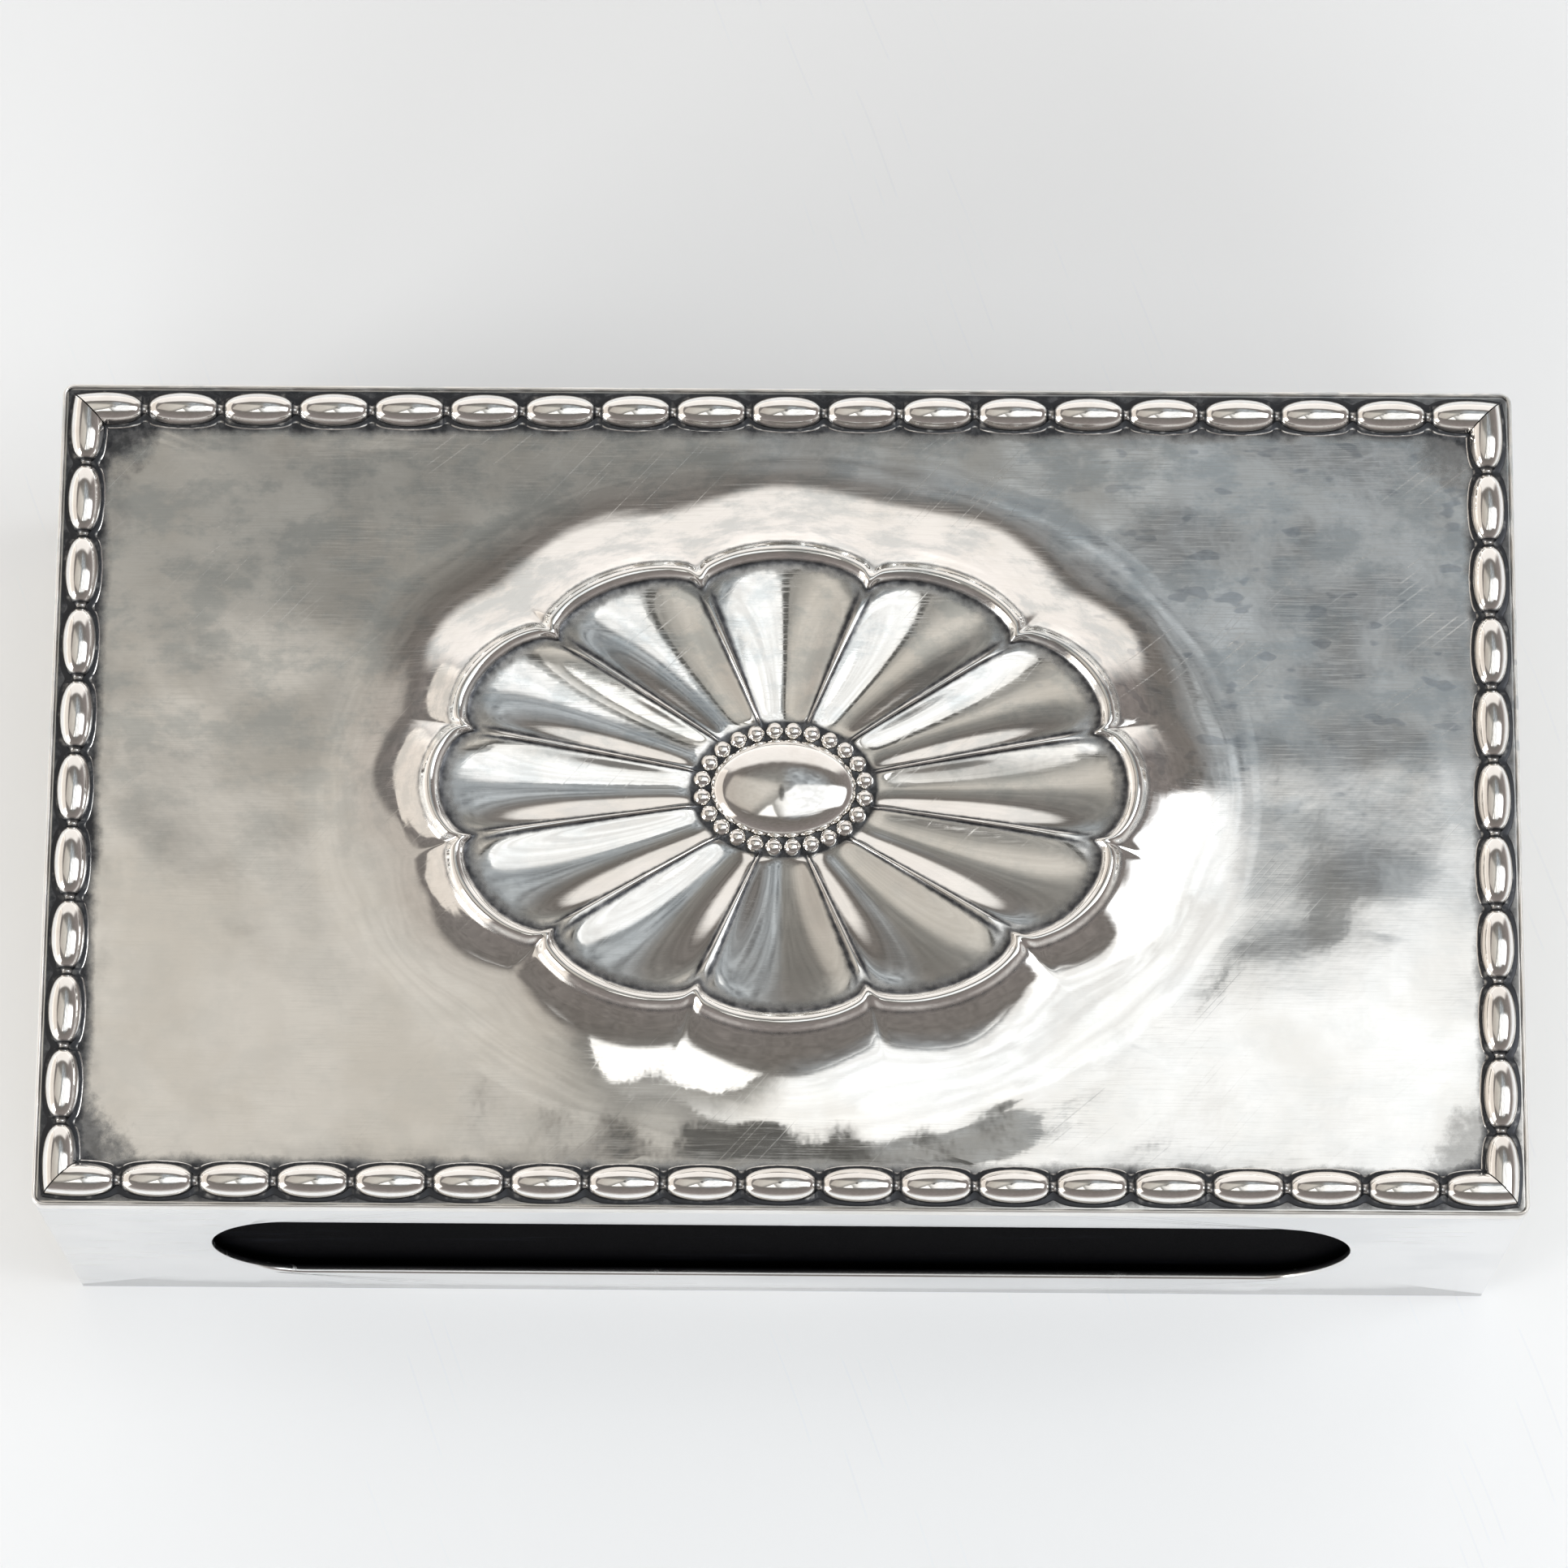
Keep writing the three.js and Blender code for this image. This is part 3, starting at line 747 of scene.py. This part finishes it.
# %% Rings from the boss to the foot of the swelling
BOSS_OVERLAP = 0.5
RIM_HEIGHT = 3.37
PEARL_BED = SEAT_HEIGHT - 0.1
RIB_SHADE = (0, 0, 0.02, 0.2, 0.85, 0.1)
FLUTE_SHARES = (0.03, 0.12, 0.26, 0.42, 0.58, 0.74, 0.88)
SWELL_OFFSETS = (2.2, 3.2, 4.4, 5.8, 7.4, 9.0, SWELL_REACH)
RIM_PROFILE = [
    (-0.8, RIM_FOOT_HEIGHT - 0.04, 0.8),
    (-0.45, RIM_FOOT_HEIGHT + 0.42, 0.1),
    (-0.1, RIM_HEIGHT, 0),
    (0.2, RIM_HEIGHT - 0.03, 0),
    (0.55, RIM_FOOT_HEIGHT + 0.35, 0.15),
    (0.95, swell_height(0.95) - 0.04, 0.55),
    (1.4, swell_height(1.4), 0.1),
]
RIM_PROFILE += [(offset, swell_height(offset), 0) for offset in SWELL_OFFSETS]
rings = [
    (boss_line(-BOSS_OVERLAP), level(SEAT_HEIGHT), level(1)),
    (boss_line(0.0), level(PEARL_BED), level(1)),
    (boss_line(PEARL), level(PEARL_BED), level(1)),
]
rings += [(flute_line(share), flute_heights(share), RIB_SHADE) for share in FLUTE_SHARES]
rings.append((flute_line(0.97), level(RIM_FOOT_HEIGHT - 0.06), level(0.5)))
rings += [(rim_line(offset), level(height), level(shade)) for offset, height, shade in RIM_PROFILE]
print(len(rings), "rings, each with its line, its heights and the shade of its recesses")

# %% Rings drawn out of the circle
def pick_points(choices):
    edit = bmesh.from_edit_mesh(cover.data)
    edit.verts.ensure_lookup_table()
    for index, chosen in choices.items():
        edit.verts[index].select_set(chosen)
    edit.select_flush_mode()


def shape_ring(marks, halves, heights, halves_before, heights_before, shades):
    for column in range(len(ACROSS)):
        pick_points({index: mark == column for index, mark in marks.items()})
        growth = [now / before for now, before in zip(halves[column], halves_before[column])]
        resize(*growth, 1)
        move(0, 0, heights[column] - heights_before[column])
        give_weight(shades[column])


select_only(cover)
edit_mode()
select_mesh()
halves_before = [(1, 1)] * len(ACROSS)
heights_before = level(0)
for number, (halves, heights, shades) in enumerate(rings):
    heights = [FIELD + height for height in heights]
    if number > 0:
        select_where(lambda place: False)
        pick_points({index: True for index in marks})
        bpy.ops.mesh.extrude_edges_move()
    edit = bmesh.from_edit_mesh(cover.data)
    columns = edit.verts.layers.int["column"]
    marks = {vertex.index: vertex[columns] for vertex in edit.verts if vertex.select}
    shape_ring(marks, halves, heights, halves_before, heights_before, shades)
    halves_before = halves
    heights_before = heights
object_mode()
print("Cage of", len(rings), "rings,", len(cover.data.vertices), "points")

# %% Underside copy and rounding
underside = duplicate(cover)
round_off(underside, 1)
select_only(cover)
round_off(cover, 2)
print("Rounded ornament:", len(cover.data.polygons), "faces")

# %% Field drawn out to the corners
SHEET = FIELD - cover_low.z
BORDER_INSET = 1.0
FIELD_CUTS = 16
ON_LINE = 0.005
OUTER_RING = 0.99
border = (cover_high.x - BORDER_INSET, cover_high.y - BORDER_INSET)


def on_border(vertex):
    return abs(vertex.co.x) > border[0] - ON_LINE or abs(vertex.co.y) > border[1] - ON_LINE


def draw_out_field(piece, cuts):
    select_only(piece)
    edit_mode()
    foot = (ROSETTE_HALF[0] + SWELL_REACH, ROSETTE_HALF[1] + SWELL_REACH)
    select_where(lambda place: (place.x / foot[0]) ** 2 + (place.y / foot[1]) ** 2 > OUTER_RING)
    bpy.ops.mesh.extrude_edges_move()
    growth = [sqrt(2) * full / half for full, half in zip(border, foot)]
    resize(*growth, 1)
    for side in (1, -1):
        select_where(lambda place: side * place.x > border[0])
        resize(0, 1, 1, middle=(side * border[0], 0, 0))
        select_where(lambda place: side * place.y > border[1])
        resize(1, 0, 1, middle=(0, side * border[1], 0))
    select_parts("EDGE", lambda edge: on_border(edge.verts[0]) != on_border(edge.verts[1]))
    bpy.ops.mesh.subdivide_edgering(number_cuts=cuts, interpolation="LINEAR", smoothness=0)
    object_mode()


draw_out_field(cover, FIELD_CUTS)
draw_out_field(underside, 1)
print("Field drawn out to", [round(2 * half, 1) for half in border], "mm")

# %% [markdown]
# ## Cover: marks of the hammer
# A sheet that has been raised and planished by hand is never quite flat, and its soft waves break the
# reflections on the plain field into clouds. A bump in the finish could do it, but real waves show from
# every side. Two Displace modifiers make broad and small ones. Each has a vertex group that lets its
# waves die away at the border and at the relief, which stiffens the sheet.

# %% Hammered waves
WAVE_STEPS = 5
BORDER_REACH = 4.0
RIM_MARGIN = 2.0
WAVES = {"broad_waves": (22, 0.35, 18.0), "small_waves": (9, 0.14, 4.0)}


def inside_field(place):
    return min(field_half[0] - abs(place.x), field_half[1] - abs(place.y))


def outside_rim(place):
    from_middle = sqrt((place.x / ROSETTE_HALF[0]) ** 2 + (place.y / ROSETTE_HALF[1]) ** 2)
    return (from_middle - 1) * ROSETTE_HALF[1]


select_only(cover)
for name, (wave_length, wave_height, relief_reach) in WAVES.items():
    cover.vertex_groups.active_index = cover.vertex_groups.new(name=name).index
    edit_mode()
    for step in range(1, WAVE_STEPS + 1):
        share = step / WAVE_STEPS
        select_where(lambda place: inside_field(place) > BORDER_REACH * (share - 0.5)
                     and outside_rim(place) > relief_reach * share - RIM_MARGIN)
        give_weight(share)
    object_mode()
    hammer = bpy.data.textures.new(name, "CLOUDS")
    hammer.noise_scale = wave_length
    hammer.noise_depth = 1
    apply_modifier(cover, "DISPLACE", texture=hammer, texture_coords="LOCAL", direction="Z",
                   strength=wave_height, mid_level=0.5, vertex_group=name)
    print(name, "of", wave_length, "mm")

# %% [markdown]
# ## Cover: lip, edge and underside
# Round the outside runs a fine raised lip, its four corners just rounded off. It could be a wire swept
# round the edge. A plane with bevelled corners, inset in small steps, up, over and down again, grows out
# of the sheet instead. The underside is a coarser copy of the same relief, one sheet lower, because the
# ornament is hollow behind. Bridges join the three into one closed sheet.

# %% Lip
CORNER_RADIUS = 1.0
CORNER_STEPS = 6
LIP_STEPS = (
    (0.04, 0.11), (0.05, 0.08), (0.06, 0.05), (0.06, 0.02), (0.06, -0.02), (0.07, -0.09), (0.08, -0.15),
)


def from_edge(place):
    beyond_x = abs(place.x) - cover_high.x + CORNER_RADIUS
    beyond_y = abs(place.y) - cover_high.y + CORNER_RADIUS
    if beyond_x > 0 and beyond_y > 0:
        return CORNER_RADIUS - sqrt(beyond_x ** 2 + beyond_y ** 2)
    return CORNER_RADIUS - max(beyond_x, beyond_y)


bpy.ops.mesh.primitive_plane_add(size=1, location=(0, 0, 0))
lip = bpy.context.object
edit_mode()
resize(2 * cover_high.x, 2 * cover_high.y, 1)
bpy.ops.mesh.bevel(offset=CORNER_RADIUS, segments=CORNER_STEPS, affect="VERTICES")
select_mesh()
move(0, 0, FIELD)
for thickness, rise in LIP_STEPS:
    bpy.ops.mesh.inset(thickness=thickness, depth=rise, use_even_offset=True)
bpy.ops.mesh.delete(type="ONLY_FACE")
select_where(lambda place: from_edge(place) < ON_LINE)
bpy.ops.mesh.extrude_edges_move()
move(0, 0, -SHEET)
select_parts("EDGE", lambda edge: edge.calc_length() > cover_high.y)
bpy.ops.mesh.subdivide(number_cuts=LOBES * COLUMNS_PER_LOBE - CORNER_STEPS - 1)
object_mode()
print("Lip", round(sum(thickness for thickness, rise in LIP_STEPS), 2), "mm wide")

# %% One closed sheet
LOOSE_FIT = 0.05
SEAT_SLACK = 0.1
hole_half = [half - BOSS_OVERLAP + LOOSE_FIT for half in BOSS_HALF]


def beside_lip(place):
    on_top = abs(place.z - FIELD) < ON_LINE
    return on_top and LIP_WIDTH - LOOSE_FIT < from_edge(place) < BORDER_INSET + ON_LINE


def under_edge(place):
    return abs(place.z - cover_low.z) < ON_LINE and from_edge(place) < BORDER_INSET + ON_LINE


def round_boss_hole(place, height):
    inside = (place.x / hole_half[0]) ** 2 + (place.y / hole_half[1]) ** 2 < 1
    return inside and abs(place.z - height) < SEAT_SLACK


select_only(underside)
edit_mode()
select_mesh()
move(0, 0, -SHEET)
object_mode()
select_only(cover, lip, underside)
bpy.ops.object.join()
edit_mode()
for gap in (beside_lip, under_edge):
    select_where(gap)
    bpy.ops.mesh.bridge_edge_loops()
for height in (FIELD + SEAT_HEIGHT, FIELD + SEAT_HEIGHT - SHEET):
    select_where(lambda place: round_boss_hole(place, height))
    bpy.ops.mesh.edge_face_add()
object_mode()
face_outwards()
edit_mode()
bpy.ops.mesh.select_non_manifold(extend=False)
object_mode()
print("Open edges left:", sum(edge.select for edge in cover.data.edges))

# %% Shade of the recesses
def paint_recesses(piece):
    select_only(piece)
    piece.vertex_groups.active_index = piece.vertex_groups["recess"].index
    bpy.ops.object.mode_set(mode="VERTEX_PAINT")
    bpy.ops.paint.vertex_color_from_weight()
    object_mode()
    piece.data.color_attributes[0].name = "recess_shade"


paint_recesses(cover)
finish_piece(cover, "cover_sheet", "case", field_silver, ["cover"])

# %% [markdown]
# ## Boss and pearls
# The middle of the dish is a smooth oval boss in a ring of pearls, each punched up and rounded with a
# hollow tool. UV spheres could be used, but pinch a reflection at their poles. Icospheres don't, so boss
# and pearls start from them and are cut off just below the seat. The pearls stand at equal steps,
# measured by walking round the oval.

# %% Boss
BOSS_HEIGHT = 2.0
BOSS_SINK = 0.15
SEAT = FIELD + SEAT_HEIGHT


def cut_below(height):
    select_mesh()
    bpy.ops.mesh.bisect(plane_co=(0, 0, height), plane_no=(0, 0, 1), use_fill=True, clear_inner=True)


bpy.ops.mesh.primitive_ico_sphere_add(subdivisions=5, radius=1)
boss = bpy.context.object
edit_mode()
resize(*BOSS_HALF, BOSS_HEIGHT)
cut_below(-BOSS_SINK)
select_mesh()
move(0, 0, SEAT)
object_mode()
finish_piece(boss, "boss", "case", bead_silver)

# %% Ring of pearls
PEARLS = 24
PEARL_SINK = 0.2
FINE_STEPS = 3600
pearl_half = [half + PEARL / 2 for half in BOSS_HALF]
turns = [2 * pi * step / FINE_STEPS for step in range(FINE_STEPS)]
line = [Vector((pearl_half[0] * cos(turn), pearl_half[1] * sin(turn))) for turn in turns]
lengths = [(line[step] - line[step - 1]).length for step in range(FINE_STEPS)]
spacing = sum(lengths) / PEARLS

bpy.ops.mesh.primitive_ico_sphere_add(subdivisions=3, radius=PEARL / 2)
pearl = bpy.context.object
edit_mode()
cut_below(-PEARL_SINK)
object_mode()
pearls = []
walked = 0.0
for point, length in zip(line, lengths):
    walked += length
    if walked >= spacing * (len(pearls) + 0.5) and len(pearls) < PEARLS:
        copy = duplicate(pearl)
        copy.location = (point.x, point.y, SEAT)
        pearls.append(copy)
bpy.data.objects.remove(pearl)
select_only(*pearls)
apply_place()
bpy.ops.object.join()
finish_piece(pearls[0], "pearl_ring", "case", bead_silver)
print(PEARLS, "pearls", round(spacing, 2), "mm apart")

# %% [markdown]
# ## Bead moulding
# The border is drawn strip with a row of oval beads, bought by the length and mitred at the corners.
# Spheres in a row could stand for it, but real beads run into each other through narrow necks. So one
# bead is drawn out along X, ring by ring, and Array repeats it with its ends merged. A second row, wider,
# flatter and hardly drawn in at the necks, is the thin scalloped foot between beads and field.

# %% One bead
BEAD_LENGTH = 6.3
BEAD_STEPS = 12
BEAD_SIDES = 24
BEAD_FULLNESS = 0.85
NECK_LENGTH = 0.45
NECK_SHADE = {0: 0.55, 1: 0.8, 2: 0.15}


def bead_ring(step, pitch, neck, middle):
    shift = {0: -NECK_LENGTH / 2, BEAD_STEPS: NECK_LENGTH / 2}.get(step, 0)
    place = shift - (pitch - NECK_LENGTH) / 2 * cos(pi * step / BEAD_STEPS)
    return place, neck + (middle - neck) * sin(pi * step / BEAD_STEPS) ** BEAD_FULLNESS


def shade_ring(step):
    give_weight(NECK_SHADE.get(min(step, BEAD_STEPS - step), 0))


def draw_bead(pitch, first, last, neck, middle):
    place, radius = bead_ring(first, pitch, neck, middle)
    bpy.ops.mesh.primitive_circle_add(
        vertices=BEAD_SIDES, radius=radius, location=(place, 0, 0), rotation=(0, pi / 2, 0)
    )
    bead = bpy.context.object
    bead.vertex_groups.new(name="recess")
    apply_place()
    edit_mode()
    shade_ring(first)
    for step in range(first + 1, last + 1):
        place_before, radius_before = place, radius
        place, radius = bead_ring(step, pitch, neck, middle)
        growth = radius / radius_before
        draw_out((place - place_before, 0, 0), (1, growth, growth))
        shade_ring(step)
    return bead


print("Bead", BEAD_LENGTH, "mm long and", 2 * BEAD_RADIUS, "mm wide")

# %% Row of beads with its corner pieces
CORNER_LEG = 4.8
CORNER_REACH = 3.6
CORNER_TAPER = radians(42)
CORNER_CUTS = 4
WELD = 0.01


def corner_piece(side, middle_place, pitch, neck, middle):
    leg = draw_bead(pitch, BEAD_STEPS // 2, BEAD_STEPS, neck, middle)
    select_where(lambda place: abs(place.x) < ON_LINE)
    for cut in range(1, CORNER_CUTS + 1):
        growth = cos(CORNER_TAPER * cut / CORNER_CUTS) / cos(CORNER_TAPER * (cut - 1) / CORNER_CUTS)
        draw_out((-CORNER_REACH / CORNER_CUTS, 0, 0), (1, growth, growth))
    object_mode()
    leg.location.x = -side * middle_place
    leg.rotation_euler.z = 0 if side > 0 else pi
    apply_place()
    return leg


def bead_row(run, neck, middle):
    row_length = run - 2 * CORNER_LEG
    count = round(row_length / BEAD_LENGTH)
    pitch = row_length / count
    row = draw_bead(pitch, 0, BEAD_STEPS, neck, middle)
    object_mode()
    row.location.x = -row_length / 2 + pitch / 2
    apply_place()
    apply_modifier(row, "ARRAY", count=count, use_relative_offset=False, use_constant_offset=True,
                   constant_offset_displace=(pitch, 0, 0), use_merge_vertices=True, merge_threshold=WELD)
    legs = [corner_piece(side, row_length / 2 + pitch / 2, pitch, neck, middle) for side in (1, -1)]
    select_only(row, *legs)
    bpy.ops.object.join()
    edit_mode()
    select_mesh()
    bpy.ops.mesh.remove_doubles(threshold=WELD)
    object_mode()
    face_outwards()
    round_off(row, 1)
    return row


print("Corner pieces", CORNER_LEG, "mm from their neck to the corner")

# %% Mitred strips
NECK_RADIUS = 0.32
FOOT_NECK = 1.05
FOOT_RADIUS = 1.72
FOOT_HEIGHT = 0.19
MITRE_GAP = 0.1
BEAD_HEIGHT = bead_high.z - bead_low.z


def mitre(piece, run):
    edit_mode()
    for side in (1, -1):
        select_mesh()
        corner = (side * (run / 2 - MITRE_GAP / sqrt(2)), 0, 0)
        bpy.ops.mesh.bisect(plane_co=corner, plane_no=(side, 1, 0), use_fill=True, clear_outer=True)
    cut_below(0)
    object_mode()


def bead_strip(side, run, place, turn):
    row = bead_row(run, NECK_RADIUS, BEAD_RADIUS)
    row.scale.z = BEAD_HEIGHT / BEAD_RADIUS
    foot = bead_row(run, FOOT_NECK, FOOT_RADIUS)
    foot.scale.z = FOOT_HEIGHT / FOOT_RADIUS
    for each in (row, foot):
        select_only(each)
        apply_place()
        mitre(each, run)
    select_only(row, foot)
    bpy.ops.object.join()
    row.location = (*place, FIELD)
    row.rotation_euler.z = turn
    paint_recesses(row)
    finish_piece(row, "bead_row_" + side, "case", bead_silver, ["bead_moulding_" + side], 50)


long_run = 2 * bead_line[0]
short_run = 2 * bead_line[1]
bead_strip("front", long_run, (0, -short_run / 2), 0)
bead_strip("right", short_run, (long_run / 2, 0), pi / 2)
bead_strip("back", long_run, (0, short_run / 2), pi)
bead_strip("left", short_run, (-long_run / 2, 0), -pi / 2)

# %% [markdown]
# ## Walls
# Front and back are the same wall: a strip of sheet with a long round-ended window pierced and filed in
# it, so that a match can be struck on the box inside. A boolean could cut the window, but leaves thin
# faces that shade badly. So a circle is parted into two round ends and bridged to the outline of the
# strip. Solidify gives the sheet its thickness, and bevels soften the filed window and the sawn edges.

# %% Wall with its window
WINDOW_HALF = (47.4, 11.0)
WINDOW_MIDDLE = 17.6
WINDOW_END = 7.2
WINDOW_POINTS = 96

wall_low, wall_high = node_box("front_wall")
wall_sheet = wall_high.y - wall_low.y
bpy.ops.mesh.primitive_circle_add(vertices=WINDOW_POINTS, radius=1, rotation=(pi / 2, 0, 0))
wall = bpy.context.object
apply_place()
edit_mode()
resize(WINDOW_END, 1, WINDOW_HALF[1])
for side in (1, -1):
    select_where(lambda place: side * place.x > ON_LINE)
    move(side * (WINDOW_HALF[0] - WINDOW_END), 0, 0)
select_mesh()
move(0, 0, WINDOW_MIDDLE)
wall_middle = (0, 0, wall_high.z / 2)
bpy.ops.mesh.primitive_plane_add(size=1, location=wall_middle, rotation=(pi / 2, 0, 0))
resize(2 * wall_high.x, 1, wall_high.z, middle=wall_middle)
bpy.ops.mesh.delete(type="ONLY_FACE")
select_where(lambda place: abs(place.x) > wall_high.x - ON_LINE)
bpy.ops.mesh.subdivide(number_cuts=WINDOW_POINTS // 4 - 1)
select_mesh()
bpy.ops.mesh.bridge_edge_loops()
print("Window", 2 * WINDOW_HALF[0], "by", 2 * WINDOW_HALF[1], "mm")

# %% Thickness of the wall
select_mesh()
move(0, wall_low.y, 0)
object_mode()
face_outwards()
if wall.data.polygons[0].normal.y > 0:
    edit_mode()
    select_mesh()
    bpy.ops.mesh.flip_normals()
    object_mode()
apply_modifier(wall, "SOLIDIFY", thickness=wall_sheet, offset=-1)
print("Wall", round(wall_sheet, 2), "mm thick")

# %% Filed rim of the window
SAWN_EDGE = 0.16
FILED_EDGE = 0.3
SHARP = radians(40)


def on_window(vertex):
    across = abs(vertex.co.x) - WINDOW_HALF[0]
    up = abs(vertex.co.z - WINDOW_MIDDLE) - WINDOW_HALF[1]
    return across < ON_LINE and up < ON_LINE


def on_window_rim(edge):
    return all(on_window(vertex) for vertex in edge.verts) and edge.calc_face_angle(0) > SHARP


select_only(wall)
edit_mode()
select_parts("EDGE", on_window_rim)
bpy.ops.mesh.bevel(offset=FILED_EDGE, segments=4, affect="EDGES")
object_mode()
apply_modifier(wall, "BEVEL", width=SAWN_EDGE, segments=3, limit_method="ANGLE", angle_limit=SHARP)
print("Window filed round by", FILED_EDGE, "mm")

# %% The same wall at the back, and the base
back_wall = duplicate(wall)
back_wall.rotation_euler.z = pi
finish_piece(wall, "wall_front", "case", wall_silver, ["front_wall"])
finish_piece(back_wall, "wall_back", "case", wall_silver, ["back_wall"])
refinish("base_plate", wall_silver)

# %% [markdown]
# ## Card sleeve, tray and striking strips
# The matchbox is plain grey board, creased and folded. It could be folded up from a flat blank. A box
# with its open faces deleted is quicker and looks the same: its folds are bevelled edges, and Solidify
# adds the board's thickness inwards. The sleeve has no ends and the tray no top. The strips are flat, so
# the solids of the frame serve as they are.

# %% Folded board
BOARD = 0.6
FOLD_STEPS = 4
CUT_EDGE = 0.08
CUT_ANGLE = radians(60)


def card_box(node, fold, is_open, is_fold):
    low, high = node_box(node)
    bpy.ops.mesh.primitive_cube_add(size=1, location=(low + high) / 2)
    box = bpy.context.object
    apply_place()
    edit_mode()
    resize(*(high - low), middle=(low + high) / 2)
    select_parts("FACE", is_open)
    bpy.ops.mesh.delete(type="FACE")
    select_parts("EDGE", is_fold)
    bpy.ops.mesh.bevel(offset=fold, segments=FOLD_STEPS, affect="EDGES")
    object_mode()
    apply_modifier(box, "SOLIDIFY", thickness=BOARD, offset=-1, use_even_offset=True)
    apply_modifier(box, "BEVEL", width=CUT_EDGE, segments=2, limit_method="ANGLE", angle_limit=CUT_ANGLE)
    return box


print("Board", BOARD, "mm thick")

# %% Sleeve, tray and strips
SLEEVE_FOLD = 0.8
TRAY_FOLD = 0.5
MOSTLY = 0.9


def is_end(face):
    return abs(face.normal.x) > MOSTLY


def runs_lengthwise(edge):
    return abs((edge.verts[0].co - edge.verts[1].co).normalized().x) > MOSTLY


def is_top(face):
    return face.normal.z > MOSTLY


sleeve = card_box("matchbox_sleeve", SLEEVE_FOLD, is_end, runs_lengthwise)
finish_piece(sleeve, "sleeve_card", "matchbox", card, ["matchbox_sleeve"])
tray = card_box("matchbox_tray", TRAY_FOLD, is_top, lambda edge: not edge.is_boundary)
finish_piece(tray, "tray_card", "tray", card, ["matchbox_tray"])
for strip in ("striker_front", "striker_back"):
    refinish(strip, striking_coat)

# %% [markdown]
# ## Matches
# The sticks are split aspen, square with broken edges. Each head was dipped, so it swells past the stick
# and ends in a rounded tip with small lumps. It could be a stretched sphere, but paste starts from the
# end of the stick, so it is drawn out of a disc, ring by ring. Stick and head are modelled once and
# copied into the tray, each turned a little.

# %% One stick
MATCH_LENGTH = 58.0
HEAD_LENGTH = 4.6
STICK_SIDE = 2.2
BROKEN_EDGE = 0.22
HEAD_JOINT = HEAD_LENGTH - MATCH_LENGTH / 2
stick_length = MATCH_LENGTH - HEAD_LENGTH

bpy.ops.mesh.primitive_cube_add(size=1)
stick = bpy.context.object
edit_mode()
resize(STICK_SIDE, stick_length, STICK_SIDE)
move(0, HEAD_JOINT + stick_length / 2, 0)
bpy.ops.mesh.bevel(offset=BROKEN_EDGE, segments=2, affect="EDGES")
object_mode()
print("Stick", round(stick_length, 1), "mm long")

# %% One head
HEAD_SIDES = 16
HEAD_RADIUS = 1.4
HEAD_TAPER = 1.7
HEAD_SHOULDER = (1.3, 0.6)
DOME_STEPS = 6
LUMP_SIZE = 0.7
LUMP_HEIGHT = 0.14

profile = [(STICK_SIDE / 2, 0.0), HEAD_SHOULDER, (HEAD_RADIUS, HEAD_TAPER)]
for step in range(1, DOME_STEPS):
    turn = pi / 2 * step / DOME_STEPS
    profile.append((HEAD_RADIUS * cos(turn), HEAD_TAPER + (HEAD_LENGTH - HEAD_TAPER) * sin(turn)))

bpy.ops.mesh.primitive_circle_add(
    vertices=HEAD_SIDES, radius=STICK_SIDE / 2, fill_type="NGON",
    location=(0, HEAD_JOINT, 0), rotation=(pi / 2, 0, 0),
)
head = bpy.context.object
apply_place()
edit_mode()
for before, after in zip(profile, profile[1:]):
    growth = after[0] / before[0]
    draw_out((0, before[1] - after[1], 0), (growth, 1, growth), (0, HEAD_JOINT - after[1], 0))
bpy.ops.mesh.extrude_edges_move()
move(0, profile[-1][1] - HEAD_LENGTH, 0)
bpy.ops.mesh.merge(type="CENTER")
object_mode()
face_outwards()
lumps = bpy.data.textures.new("lumps", "CLOUDS")
lumps.noise_scale = LUMP_SIZE
round_off(head, 1)
apply_modifier(head, "DISPLACE", texture=lumps, texture_coords="LOCAL",
               strength=LUMP_HEIGHT, mid_level=0.75)
print("Head", HEAD_LENGTH, "mm long")

# %% Matches in the tray
MATCHES = 18
MATCH_SPAN = 106.8
MATCH_HEIGHT = 3.4
MATCH_SKEW = radians(1.6)
SKEW_STEP = 2.4
MODELS = {"stick": (stick, "match_wood", aspen), "head": (head, "match_head", paste)}
for i in range(MATCHES):
    for name, (model, slot, material) in MODELS.items():
        copy = duplicate(model)
        copy.location = (MATCH_SPAN * (i / (MATCHES - 1) - 0.5), 0, MATCH_HEIGHT)
        copy.rotation_euler.z = MATCH_SKEW * sin(SKEW_STEP * i)
        numbered = f"{name}_{i + 1:02d}"
        finish_piece(copy, numbered, "tray", material, ["match_" + numbered])
for model in (stick, head):
    bpy.data.objects.remove(model)
print(MATCHES, "matches over", MATCH_SPAN, "mm")
